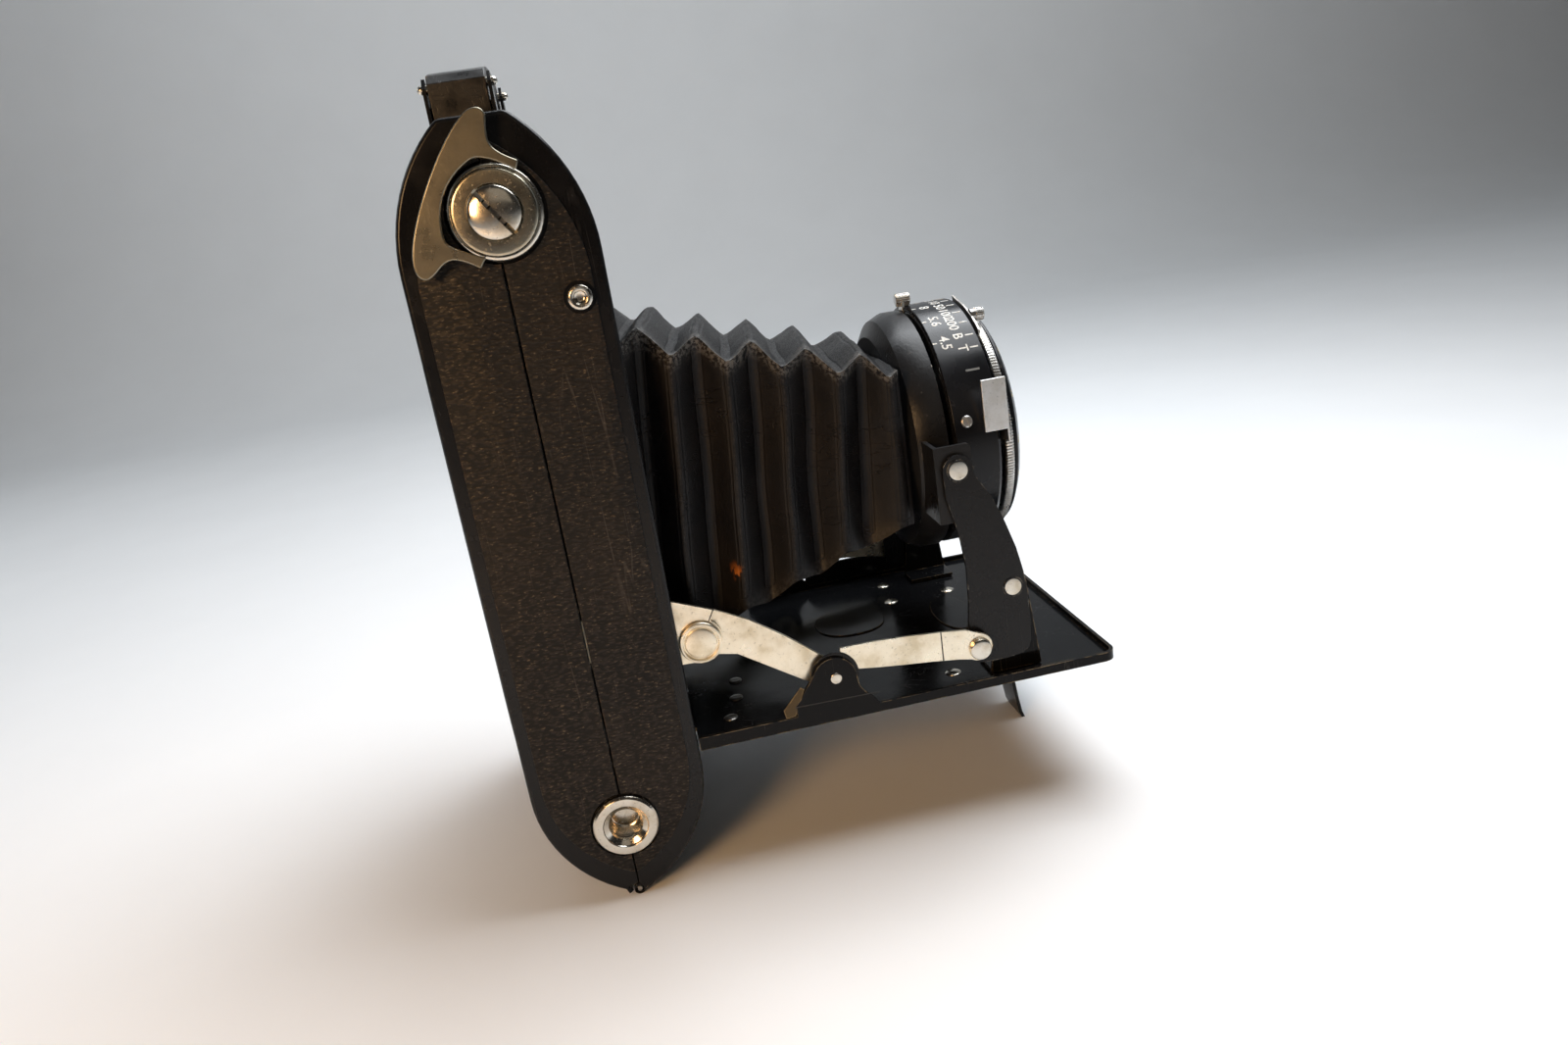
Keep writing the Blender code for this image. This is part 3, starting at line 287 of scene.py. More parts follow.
def pebbled_leather(name, turn=UNTURNED):
    """Grained covering leather: small flat pebbles across the body, with painted shade between them and a
    painted glint on some.
    """
    made, tree, shader = new_look(name, specular_ior_level=0.27)
    lengthways = (0.62, 0.9, 1.5)
    pebbles = cells(tree, 1550.0, lengthways, 0.9, "SMOOTH_F1", turn)
    fine = clouds(tree, 4200.0, 3.0, lengthways, turn)
    domes = remap(tree, pebbles, 0.15, 0.70, 1.0, 0.0)
    height = plus(tree, times(tree, domes, 0.75), times(tree, fine, 0.35))
    glints = spots(tree, 0.56, 0.70, 1700.0, 2.0, (0.7, 0.9, 1.6), turn, 0.6, 0.4)
    glints = times(tree, glints, remap(tree, domes, 0.2, 0.8))
    patches = clouds(tree, 45.0, 3.0)
    # painted highlight and painted shade: the colour runs from dark in the crevices to light on the pebble
    # tops
    colour = blend_colour(tree, remap(tree, height, 0.30, 0.95), (0.0035, 0.0030, 0.0026),
                          (0.0135, 0.0098, 0.0064))
    colour = marked(tree, colour, remap(tree, patches, 0.40, 0.75), 0.30, (0.022, 0.0155, 0.0095))
    # painted glints: bright specks on some pebble tops
    colour = marked(tree, colour, glints, 0.60, (0.165, 0.120, 0.070))
    rubbed = times(tree, edge_mask(tree, 0.5), spots(tree, 0.56, 0.70, 500.0))
    colour = marked(tree, colour, rubbed, 0.45, (0.16, 0.085, 0.04))
    scuff = scratches(tree, 200.0, (0.0, 70.0, 0.0), 0.010)
    colour = marked(tree, colour, scuff, 0.30, (0.12, 0.10, 0.085))
    finish(shader, colour, remap(tree, height, 0.3, 1.0, 0.62, 0.38), bump(tree, height, 0.10, 0.8))
    return made


def bellows_leather(name):
    """Thin black leather: fine grain, stiffeners pressed through, creases with painted shade, rubbed
    folds, a worn spot.
    """
    made, tree, shader = new_look(name, specular_ior_level=0.24)
    wave = add(tree, "Attribute", attribute_name="fold").outputs["Fac"]
    corner = add(tree, "Attribute", attribute_name="corner").outputs["Fac"]
    grain = clouds(tree, 2600.0, 4.0)
    fine = clouds(tree, 1300.0, 4.0, rough=0.65)
    across = clouds(tree, 190.0, 3.0, (0.16, 1.0, 1.5), (0.0, 7.0, 0.0), 0.5, 0.2)
    crease_and_shade = remap(tree, apart(tree, across, 0.5), 0.0, 0.012, 1.0, 0.0)
    crease_and_shade = times(tree, crease_and_shade, spots(tree, 0.48, 0.58, 60.0, 2.0))
    groove = remap(tree, apart(tree, calc(tree, "ABSOLUTE", wave), 0.70), 0.02, 0.10, 1.0, 0.0)
    patches = clouds(tree, 75.0, 5.0)
    colour = blend_colour(tree, remap(tree, patches, 0.35, 0.7), (0.0026, 0.0024, 0.0030),
                          (0.0070, 0.0056, 0.0054))
    ridge = times(tree, remap(tree, wave, 0.86, 1.0), remap(tree, fine, 0.40, 0.62))
    colour = marked(tree, colour, ridge, 0.30, (0.11, 0.10, 0.09))
    worn = times(tree, remap(tree, corner, 0.0, 0.075, 1.0, 0.0), remap(tree, fine, 0.42, 0.60))
    worn = times(tree, worn, remap(tree, coordinate(tree, "Z"), 75.0, 100.0, 0.15, 1.0))
    colour = marked(tree, colour, worn, 0.62, (0.20, 0.19, 0.175))
    bare = spots(tree, 0.50, 0.60, 700.0, 4.0, (1.0, 1.0, 0.5), (0.0, 40.0, 0.0))
    spot = add(tree, "Attribute", attribute_name="spot").outputs["Fac"]
    bare = times(tree, bare, remap(tree, spot, 0.35, 0.75))
    colour = blend_colour(tree, bare, colour, (0.42, 0.12, 0.015))
    # painted shade: the creases are darkened in colour as well as cut into the bump
    colour = marked(tree, colour, crease_and_shade, 0.5, (0.0015, 0.0015, 0.0015))
    height = plus(tree, times(tree, grain, 0.35), times(tree, across, 0.4))
    height = calc(tree, "SUBTRACT", height, times(tree, crease_and_shade, 0.8))
    height = calc(tree, "SUBTRACT", height, times(tree, groove, 0.7))
    finish(shader, colour, remap(tree, grain, 0.3, 0.7, 0.36, 0.58), bump(tree, height, 0.16, 0.7))
    return made


def strap_leather(name):
    """Smooth polished strap leather with hair cracks, dull edges and orange worn patches."""
    made, tree, shader = new_look(name, specular_ior_level=0.5)
    patches = clouds(tree, 200.0, 5.0)
    edges = cells(tree, 700.0, (1.0, 0.7, 1.0), 1.2, "DISTANCE_TO_EDGE")
    cracks = remap(tree, edges, 0.0, 0.05, 1.0, 0.0)
    cracks = times(tree, cracks, remap(tree, patches, 0.5, 0.62))
    rubbed = times(tree, edge_mask(tree, 0.8), spots(tree, 0.50, 0.66, 330.0))
    colour = blend_colour(tree, patches, (0.0035, 0.0035, 0.0035), (0.010, 0.009, 0.008))
    colour = marked(tree, colour, rubbed, 0.7, (0.22, 0.15, 0.09))
    bare = spots(tree, 0.68, 0.76, 260.0)
    colour = blend_colour(tree, bare, colour, (0.20, 0.075, 0.02))
    height = calc(tree, "SUBTRACT", clouds(tree, 1700.0, 3.0), cracks)
    finish(shader, colour, remap(tree, patches, 0.35, 0.7, 0.25, 0.48), bump(tree, height, 0.05, 0.5))
    return made


def paint(name, colour, dirt):
    """Filled engraving, a little dirty and uneven."""
    made, tree, shader = new_look(name)
    patches = clouds(tree, 1500.0, 4.0)
    colour = blend_colour(tree, remap(tree, patches, 0.45, 0.8), colour, dirt)
    finish(shader, colour, remap(tree, patches, 0.3, 0.7, 0.45, 0.7), bump(tree, patches, 0.02, 0.4))
    return made


def optical(name, tint, depth):
    """Lens or window glass with faint cleaning marks and dust."""
    made, tree, shader = new_look(name, transmission_weight=depth, ior=1.52, coat_weight=0.35)
    specks = spots(tree, 0.70, 0.80, 2200.0, 2.0)
    marks = scratches(tree, 420.0, (40.0, 0.0, 0.0), 0.008)
    colour = blend_colour(tree, times(tree, specks, 0.12), tint, (0.7, 0.7, 0.68))
    finish(shader, colour, plus(tree, times(tree, marks, 0.12), 0.03), bump(tree, specks, 0.004, 0.3))
    return made


LOOKS = {
    "enamel": enamel("black_enamel", (0.0045, 0.0045, 0.005), (0.16, 0.34)),
    "satin": enamel("satin_enamel", (0.008, 0.0082, 0.009), (0.26, 0.42), (0.42, 0.38, 0.32),
                    (0.58, 0.72), 0.12),
    "scale": enamel("scale_enamel", (0.006, 0.0065, 0.008), (0.20, 0.34), (0.45, 0.42, 0.36),
                    (0.62, 0.78)),
    "bed": enamel("bed_enamel", (0.0035, 0.0037, 0.0042), (0.10, 0.22), (0.26, 0.19, 0.11),
                  (0.40, 0.58), gloss=0.12),
    "worn": enamel("worn_enamel", (0.050, 0.034, 0.012), (0.30, 0.45), (0.42, 0.30, 0.14),
                   (0.30, 0.50)),
    "inner": enamel("inner_black", (0.014, 0.014, 0.014), (0.60, 0.80), (0.10, 0.09, 0.08),
                    (0.60, 0.75)),
    "nickel": plated("nickel", (0.72, 0.68, 0.60), (0.14, 0.28), (0.50, 0.42, 0.30)),
    "knob": plated("knob_nickel", (0.46, 0.42, 0.33), (0.20, 0.32), (0.34, 0.30, 0.21)),
    "links": plated("link_nickel", (0.90, 0.82, 0.66), (0.26, 0.42), (0.70, 0.60, 0.42), 0.02),
    "bright": plated("bright_steel", (0.80, 0.79, 0.77), (0.26, 0.40), (0.62, 0.60, 0.56)),
    "steel": plated("steel", (0.40, 0.385, 0.36), (0.30, 0.46), (0.28, 0.26, 0.23), 0.0,
                    (1.0, 1.0, 0.06)),
    "key": plated("key_steel", (0.30, 0.275, 0.21), (0.26, 0.38), (0.20, 0.18, 0.13), 0.0,
                  (0.08, 1.0, 1.0)),
    "leather": pebbled_leather("covering_leather"),
    "wall_leather": pebbled_leather("wall_leather", (0.0, 0.0, 90.0)),
    "bellows": bellows_leather("bellows_leather"),
    "strap": strap_leather("strap_leather"),
    "white": paint("white_filling", (0.80, 0.80, 0.76), (0.45, 0.44, 0.40)),
    "cream": paint("cream_filling", (0.62, 0.52, 0.30), (0.32, 0.26, 0.14)),
    "dark": paint("dark_slot", (0.012, 0.011, 0.010), (0.03, 0.025, 0.02)),
    "glass": optical("lens_glass", (0.86, 0.88, 0.92), 0.92),
    "red": optical("red_glass", (0.45, 0.012, 0.010), 0.55),
}


# ---- pieces


def settle(obj, look, body, *replaced, sharp=40.0, weighted=True):
    """Give a piece its look and shading, and let it ride on a body in place of CAD pieces."""
    obj.data.materials.clear()
    obj.data.materials.append(LOOKS[look])
    obj.data.shade_smooth()
    obj.data.set_sharp_from_angle(angle=radians(sharp))
    if weighted:
        normals = obj.modifiers.new("even_faces", "WEIGHTED_NORMAL")
        normals.keep_sharp = True
    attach(obj, body)
    if replaced:
        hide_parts(*replaced)
    return obj


def link_mesh(name, mesh):
    obj = bpy.data.objects.new(name, mesh)
    SCENE.collection.objects.link(obj)
    return obj


def mesh_from(work, name):
    """A mesh of what was built in work, which is let go."""
    mesh = bpy.data.meshes.new(name)
    work.to_mesh(mesh)
    work.free()
    return mesh


def evaluated_mesh(obj):
    bpy.context.view_layer.update()
    graph = bpy.context.evaluated_depsgraph_get()
    return bpy.data.meshes.new_from_object(obj.evaluated_get(graph))


def tidied(mesh, matrix=None):
    """Weld the loose caps of a mesh, face it outwards and move it by matrix."""
    work = bmesh.new()
    work.from_mesh(mesh)
    bmesh.ops.remove_doubles(work, verts=work.verts, dist=1e-6)
    if matrix is not None:
        work.transform(matrix)
    bmesh.ops.recalc_face_normals(work, faces=work.faces)
    if work.calc_volume(signed=True) < 0.0:
        bmesh.ops.reverse_faces(work, faces=work.faces)
    work.to_mesh(mesh)
    work.free()
    return mesh


def beside(side, inside, outside):
    """The range of Y between two distances from the middle plane, on one side of it."""
    return sorted((side * inside, side * outside))


def arc(hub, radius, start, end, steps):
    """Points on a circle from one angle to another, in degrees, both ends included."""
    points = []
    for i in range(steps + 1):
        angle = radians(start + (end - start) * i / steps)
        points.append((hub[0] + radius * cos(angle), hub[1] + radius * sin(angle)))
    return points


def dome(radius, rise, foot=0.0, step=10):
    """The profile of a dome from its axis down to its rim, its rim at the height foot."""
    return [(radius * sin(radians(a)), foot + rise * cos(radians(a)))
            for a in range(0, 91, step)]


def oval(hub, half_u, half_v, power, steps=48):
    """A rounded outline between an ellipse and a rectangle."""
    points = []
    for i in range(steps):
        angle = 2.0 * pi * i / steps
        u, v = cos(angle), sin(angle)
        points.append((hub[0] + half_u * copysign(abs(u) ** (2.0 / power), u),
                       hub[1] + half_v * copysign(abs(v) ** (2.0 / power), v)))
    return points


PLANES = {
    "XY": Matrix.Identity(3),
    "XZ": Matrix(((1, 0, 0), (0, 0, -1), (0, 1, 0))),
    "YZ": Matrix(((0, 0, 1), (1, 0, 0), (0, 1, 0))),
}
ACROSS = {"XY": (0, 0, 1), "XZ": (0, 1, 0), "YZ": (1, 0, 0)}


def plate(name, outline, low, high, plane, holes=(), edge=0.15):
    """A flat outline with holes, as thick as the range low to high, with rounded edges."""
    edge = min(edge, (high - low) * 0.45)
    data = bpy.data.curves.new(name, "CURVE")
    data.dimensions = "2D"
    data.fill_mode = "BOTH"
    data.extrude = ((high - low) / 2 - edge) * MM
    data.bevel_depth = edge * MM
    data.bevel_resolution = 2
    data.offset = -edge * MM
    for loop in (outline, *holes):
        spline = data.splines.new("POLY")
        spline.points.add(len(loop) - 1)
        for vertex, (u, v) in zip(spline.points, loop):
            vertex.co = (u * MM, v * MM, 0.0, 1.0)
        spline.use_cyclic_u = True
    curve = link_mesh(name + "_outline", data)
    mesh = evaluated_mesh(curve)
    bpy.data.objects.remove(curve, do_unlink=True)
    spot = ORIGIN + Vector(ACROSS[plane]) * (low + high) / 2 * MM
    return link_mesh(name, tidied(mesh, Matrix.Translation(spot) @ PLANES[plane].to_4x4()))


def rounded(profile, radius):
    """A profile whose corners off the axis are replaced by small arcs."""
    steps = 3
    straight = radians(160.0)
    result = []
    last = len(profile) - 1
    closed = profile[0][0] > 0.0
    for i, point in enumerate(profile):
        if not closed and i in (0, last):
            result.append(point)
            continue
        corner = Vector(point)
        before = Vector(profile[i - 1]) - corner
        after = Vector(profile[(i + 1) % len(profile)]) - corner
        sides = min(before.length, after.length)
        if min(corner.x, sides) < 1e-6 or before.angle(after) > straight:
            result.append(point)
            continue
        reach = min(radius, sides * 0.45)
        start = corner + before.normalized() * reach
        end = corner + after.normalized() * reach
        for step in range(steps + 1):
            share = step / steps
            bent = start.lerp(corner, share).lerp(corner.lerp(end, share), share)
            result.append((bent.x, bent.y))
    return result


def axis_matrix(base, axis):
    return Matrix.Translation(place(*base)) @ Vector(axis).to_track_quat("Z", "Y").to_matrix().to_4x4()


def turned(name, profile, base, axis, segments=96, edge=0.12, teeth=0, tooth_depth=0.0, tooth_from=0.0):
    """A profile of (radius, height) turned about an axis; past tooth_from its rim may be knurled."""
    profile = rounded(profile, edge)
    if teeth:
        segments = teeth * 4
    work = bmesh.new()
    loops = []
    for radius, height in profile:
        if radius < 1e-6:
            loops.append([work.verts.new((0.0, 0.0, height * MM))])
            continue
        ring = []
        for i in range(segments):
            cut_in = tooth_depth if teeth and radius > tooth_from and i % 4 in (0, 1) else 0.0
            reach = (radius - cut_in) * MM
            angle = 2.0 * pi * i / segments
            spot = (reach * cos(angle), reach * sin(angle), height * MM)
            ring.append(work.verts.new(spot))
        loops.append(ring)
    pairs = list(zip(loops, loops[1:]))
    if profile[0][0] > 0.0:
        pairs.append((loops[-1], loops[0]))
    for upper, lower in pairs:
        for i in range(segments):
            k = (i + 1) % segments
            if len(upper) == 1 and len(lower) == 1:
                continue
            if len(upper) == 1:
                work.faces.new((upper[0], lower[i], lower[k]))
            elif len(lower) == 1:
                work.faces.new((upper[i], lower[0], upper[k]))
            else:
                work.faces.new((upper[i], lower[i], lower[k], upper[k]))
    return link_mesh(name, tidied(mesh_from(work, name), axis_matrix(base, axis)))


def turned_part(node, look, profile, base, axis, segments=96, edge=0.12, knurl=(), **shading):
    """A turned piece that stands in for a CAD piece."""
    piece = turned(node + "_fine", profile, base, axis, segments, edge, *knurl)
    return settle(piece, look, BODY_OF[node], node, **shading)


def cut(target, *cutters):
    """Take other solids away from a piece for good."""
    for cutter in cutters:
        modifier = target.modifiers.new("cut", "BOOLEAN")
        modifier.operation = "DIFFERENCE"
        modifier.object = cutter
        modifier.solver = "EXACT"
    mesh = evaluated_mesh(target)
    target.modifiers.clear()
    target.data = mesh
    for cutter in cutters:
        bpy.data.objects.remove(cutter, do_unlink=True)
    return target


def bar(name, start, end, radius, segments):
    """A round bar between two points."""
    axis = Vector(end) - Vector(start)
    profile = [(0.0, axis.length), (radius, axis.length), (radius, 0.0), (0.0, 0.0)]
    return turned(name, profile, start, axis, segments, 0.0)


def block(name, x_range, y_range, z_range):
    """A block to cut with."""
    work = bmesh.new()
    bmesh.ops.create_cube(work, size=1.0)
    for vertex in work.verts:
        spans = zip(vertex.co, (x_range, y_range, z_range))
        vertex.co = place(*((low + high) / 2 + share * (high - low) for share, (low, high) in spans))
    return link_mesh(name, mesh_from(work, name))


def refined(node, look, edge, segments=2, angle=32.0, wide_edges=None, wide=0.9):
    """A CAD piece whose facets are merged and whose edges are rounded."""
    work = bmesh.new()
    work.from_mesh(frame["nodes"][node].data)
    bmesh.ops.remove_doubles(work, verts=work.verts, dist=3e-6)
    bmesh.ops.dissolve_limit(work, angle_limit=radians(0.8), verts=work.verts, edges=work.edges)

    def sharp_edges():
        return [line for line in work.edges
                if len(line.link_faces) == 2 and line.calc_face_angle(0.0) > radians(angle)]

    def bevel(lines, width, steps, clamp):
        bmesh.ops.bevel(work, geom=lines, offset=width * MM, segments=steps, profile=0.5,
                        affect="EDGES", clamp_overlap=clamp)

    if wide_edges:
        bevel([line for line in sharp_edges() if wide_edges(line)], wide, 5, False)
    if edge:
        bevel(sharp_edges(), edge, segments, True)
    name = node + "_fine"
    return settle(link_mesh(name, mesh_from(work, name)), look, BODY_OF[node], node)


def rivet(name, point, side, radius, height, body):
    """A domed rivet head that stands out along Y."""
    profile = dome(radius, height * 0.65, height * 0.35) + [(radius, 0.0), (0.0, 0.0)]
    return settle(turned(name, profile, point, (0, side, 0), 64, 0.0), "nickel", body)


# ---- body

TOP_ARC = (15.5, 138.0, 34.1)   # how far its centre lies behind the seam, its height, its radius
FOOT_ARC = (11.4, 27.77, 30.0)
LEATHER_TOP = (133.6, 31.3)     # centre height and radius of the leather's round top
LEATHER_FOOT = (30.5, 27.2)
LEATHER_SEAM = 0.22
WIDE_EDGE = 0.9                 # rounding of the outer rim
SHARP_ROUND = ((WINDER, 9.6), (SUPPLY, 7.9), (BUTTON, 2.6))     # places that keep their small edges
LEATHER_HOLES = {NEAR: (9.35, 7.6), FAR: (5.7, 5.7)}            # radii round the winder and the supply
BUTTON_HOLE = 3.05


def on_outer_rim(edge):
    """True on the edge where an end plate turns into the body's outer wall."""
    ends = [(vertex.co - ORIGIN) / MM for vertex in edge.verts]
    if any(abs(abs(end.y) - HALF_WIDTH) > 0.02 for end in ends):
        return False
    spot = (ends[0] + ends[1]) / 2
    at_seam = abs(spot.x) < 1.2
    return not at_seam and all(hypot(spot.x - axis.x, spot.z - axis.z) >= radius
                               for axis, radius in SHARP_ROUND)


def leather_half(side_x):
    """Half of an end plate's leather, behind (-1) or in front of (1) the seam."""
    foot_back, top_back = FOOT_ARC[0], TOP_ARC[0]
    foot_start = -degrees(acos((foot_back + LEATHER_SEAM) / LEATHER_FOOT[1]))
    top_end = degrees(acos((top_back + LEATHER_SEAM) / LEATHER_TOP[1]))
    points = arc((-foot_back, LEATHER_FOOT[0]), LEATHER_FOOT[1], foot_start, 0.0, 28)
    points += arc((-top_back, LEATHER_TOP[0]), LEATHER_TOP[1], 0.0, top_end, 28)
    if side_x > 0:
        return points
    return [(-x, z) for x, z in reversed(points)]


def end_hole(axis, start, end, radius, segments):
    return bar("spot", (axis.x, start, axis.z), (axis.x, end, axis.z), radius, segments)


def make_end_leather(side, side_name):
    inside, outside = HALF_WIDTH - 2.2, HALF_WIDTH + 3.8
    low, high = beside(side, HALF_WIDTH + 0.02, HALF_WIDTH + LEATHER_THICK)
    for direction, half_name, body in ((1, "front", "camera_body"), (-1, "rear", "back_cover")):
        name = f"end_leather_{side_name}_{half_name}"
        leather = plate(name, leather_half(direction), low, high, "XZ", edge=0.16)
        cutters = [end_hole(axis, side * inside, side * outside, radius, 96)
                   for axis, radius in zip((WINDER, SUPPLY), LEATHER_HOLES[side])]
        if side == NEAR and direction > 0:
            cutters.append(end_hole(BUTTON, -outside, -inside, BUTTON_HOLE, 64))
        settle(cut(leather, *cutters), "leather", body, weighted=False)


def make_rollers():
    for node in ("film_roller_lower", "film_roller_upper"):
        low, high = corners(node)
        radius = (high.z - low.z) / 2
        axis = centre(node)
        journal = 0.9
        profile = [(0.0, high.y), (journal, high.y), (journal, high.y - 1.0), (radius, high.y - 1.0),
                   (radius, low.y + 1.0), (journal, low.y + 1.0), (journal, low.y), (0.0, low.y)]
        turned_part(node, "nickel", profile, (axis.x, 0.0, axis.z), (0, 1, 0), 64)


def make_body():
    for node in ("body_shell", "back_cover"):
        refined(node, "enamel", 0.15, wide_edges=on_outer_rim, wide=WIDE_EDGE)
    for side, side_name in SIDES:
        make_end_leather(side, side_name)
    refined("cover_hinge_pin", "steel", 0.1)
    refined("bed_hinge_pin", "steel", 0.1)
    refined("film_gate", "inner", 0.12)
    make_rollers()


def make_back_wall():
    """Leather on the flat of the back, with an opening for the red window's frame."""
    low, high = corners("window_frame")
    gap = Vector((0.0, 0.4, 0.4))
    low, high = low - gap, high + gap
    opening = [(low.y, low.z), (high.y, low.z), (high.y, high.z), (low.y, high.z)]
    outline = oval((0.0, 82.0), HALF_WIDTH - 3.0, 52.0, 9.0, 96)
    outside, inside = -HALF_DEPTH - LEATHER_THICK, -HALF_DEPTH + 0.05
    back = plate("back_leather", outline, outside, inside, "YZ", [opening], 0.16)
    settle(back, "wall_leather", "back_cover", weighted=False)
    refined("window_frame", "enamel", 0.15)
    refined("window_shutter", "nickel", 0.12)
    refined("pressure_plate", "inner", 0.12)
    refined("pressure_spring_lower", "steel", 0.0)
    refined("pressure_spring_upper", "steel", 0.0)
    profile = [(0.0, 0.5), (5.6, 0.5), (6.2, 0.3), (6.2, 0.0), (0.0, 0.0)]
    base = (corners("red_window")[0].x + 0.05, 0.0, centre("red_window").z)
    turned_part("red_window", "red", profile, base, (1, 0, 0), 64)
    refined("cover_hook", "nickel", 0.12)
    refined("back_latch", "nickel", 0.2)


# ---- winder and end fittings

SKIN = HALF_WIDTH + 0.3         # where fittings start, a clearance above the end plates


KNOB_FACE = 4.1                 # where the knob's screw lies on the knob, above the skin
SCREW_SLOT_TURN = 55.0
SPOOL_END, SPOOL_CORE, SPOOL_BORE = 12.6, 6.0, 2.6
SPOOL_OUTSIDE, SPOOL_INSIDE = 31.6, 30.6
STUD_BORE, STUD_TIP = 2.2, -12.2    # the studs that reach into the spools
BUSH_THREAD = 3.57
OUT = (0, -1, 0)


def make_knob_screw(base):
    head = dome(4.8, 1.0, KNOB_FACE + 0.5, 6)
    shank = [(4.8, KNOB_FACE), (1.2, KNOB_FACE), (1.2, -3.5), (0.0, -3.5)]
    screw = turned("knob_screw_fine", head + shank, base, OUT, 96, 0.0)
    slot = block("slot", (-6.0, 6.0), (-0.55, 2.0), (-0.42, 0.42))
    tip = place(base[0], base[1] - KNOB_FACE - 1.5, base[2])
    turn = Matrix.Rotation(radians(SCREW_SLOT_TURN), 4, "Y")
    slot.data.transform(Matrix.Translation(tip) @ turn @ Matrix.Translation(-ORIGIN))
    settle(cut(screw, slot), "nickel", "winder", "knob_screw", sharp=30.0)


def make_spools():
    half = [(SPOOL_BORE, SPOOL_OUTSIDE), (SPOOL_END, SPOOL_OUTSIDE), (SPOOL_END, SPOOL_INSIDE),
            (SPOOL_CORE, SPOOL_INSIDE)]
    profile = half + [(radius, -y) for radius, y in reversed(half)]
    for node, axis in (("take_up_spool", WINDER), ("supply_spool", SUPPLY)):
        turned_part(node, "inner", profile, (axis.x, 0.0, axis.z), (0, 1, 0))


def make_winder():
    base = (WINDER.x, -SKIN, WINDER.z)
    ring = [(3.2, 1.0), (8.1, 1.0), (8.45, 0.85), (8.7, 0.5), (8.7, 0.0), (3.2, 0.0)]
    turned_part("winder_boss", "nickel", ring, base, OUT, 128)
    knob = [(2.9, 3.6), (4.9, 3.6), (5.05, 3.8), (7.1, 3.8), (7.6, 3.62), (7.85, 3.2), (7.85, 2.5),
            (7.5, 2.35), (7.5, 1.5), (2.9, 1.5)]
    turned_part("wind_knob", "knob", knob, base, OUT, 128, 0.1)
    refined("wind_shaft", "steel", 0.0)
    make_knob_screw(base)
    refined("wing_key", "key", 0.3, 3)
    make_spools()


def make_end_fittings():
    thread = [(BUSH_THREAD - (0.35 if i % 2 else 0.0), -4.7 + 0.35 * i) for i in range(13)]
    flange = [(3.65, 0.0), (4.75, 0.75), (4.95, 1.1), (6.6, 1.1), (7.1, 0.6), (7.1, 0.0), (5.2, 0.0),
              (5.2, -6.2), (STUD_BORE, -6.2), (STUD_BORE, STUD_TIP), (0.0, STUD_TIP)]
    bush = [(0.0, -5.0), (3.1, -5.0)] + thread + flange
    turned_part("tripod_bush", "nickel", bush, (SUPPLY.x, -SKIN, SUPPLY.z), OUT, 128, 0.1)
    button = [(0.0, 1.25), (0.7, 1.3), (1.15, 1.55), (1.35, 1.85), (1.9, 1.9), (2.3, 1.7), (2.4, 1.45),
              (2.4, 1.0), (1.2, 1.0), (1.2, -1.6), (1.9, -1.6), (1.9, -2.4), (0.0, -2.4)]
    turned_part("release_button", "nickel", button, (BUTTON.x, -SKIN, BUTTON.z), OUT, 64)
    stud = [(0.0, 1.6), (4.2, 1.6), (4.8, 1.35), (5.0, 0.9), (5.0, 0.0), (STUD_BORE, 0.0),
            (STUD_BORE, STUD_TIP), (0.0, STUD_TIP)]
    for node, axis in (("spool_stud_lower", SUPPLY), ("spool_stud_upper", WINDER)):
        turned_part(node, "nickel", stud, (axis.x, SKIN, axis.z), (0, 1, 0), 96, 0.15, (60, 0.18, 4.5))


def make_strap():
    refined("strap", "strap", 0.55, 4, 25.0)
    for _, side_name in SIDES:
        node = "strap_pin_" + side_name
        low, high = corners(node)
        axis = centre(node)
        radius = (high.z - low.z) / 2
        length = high.x - low.x
        tip = dome(radius, radius, length - radius, 15)
        profile = tip + [(r, length - h) for r, h in reversed(tip)]
        turned_part(node, "nickel", profile, (low.x, axis.y, axis.z), (1, 0, 0), 48, 0.0)
        refined("strap_lug_" + side_name, "enamel", 0.12)


def make_finder():
    refined("finder_base", "enamel", 0.12)
    refined("finder_front", "nickel", 0.15)
    refined("finder_rear", "nickel", 0.15)


# ---- bed and foot

BED_RIVETS = ((79.5, -31.4), (78.2, 18.5), (94.4, 18.6), (78.2, -18.5), (94.4, -18.6), (79.5, 31.4))
BED_SCREWS = ((27.1, -30.0), (29.6, -20.4), (30.6, -11.0), (30.6, 11.0), (29.6, 20.4), (27.1, 30.0))
BED_PADS = {
    "middle": oval((64.5, 10.6), 9.2, 9.4, 2.3), "front": oval((90.6, 2.2), 5.0, 11.6, 2.2),
}
FOOT_HOLE = oval((101.5, 1.6), 4.5, 12.0, 6.0)      # cut in the bed's leather for the foot
# a black strip along the bed's far side only, over a dark band; the near side has none
FAR_DARK_STRIP = [(58.2, 32.0), (58.8, 35.0), (60.4, 37.4), (63.0, 38.3), (88.0, 38.3), (91.0, 36.6),
            (93.0, 32.0)]
EAR_TAB = [(38.2, 35.4), (38.5, 33.4), (40.6, 33.5), (43.4, 39.4), (42.6, 40.0)]
EAR_FOLD = [(40.8, 35.5), (60.0, 35.0), (60.0, 35.25), (40.8, 35.75)]
EAR_FACE = 40.65                # the ears' outer faces, from the middle plane
EAR_RIVET = (50.7, 40.4)
EAR_WASHER = [(50.7 + u, 40.6 + v * 5.6 / 5.4) for u, v in arc((0.0, 0.0), 5.4, 0.0, 354.0, 59)]


def make_bed_leather():
    low, high = corners("bed")
    outline = oval(((low.x + high.x) / 2 + 1.0, centre("bed").y), 44.5, 37.0, 12.0, 96)
    floor = low.z + 1.9
    under = plate("bed_leather", outline, floor - LEATHER_THICK, floor + 0.05, "XY", [FOOT_HOLE], 0.16)
    settle(under, "wall_leather", "bed", weighted=False)


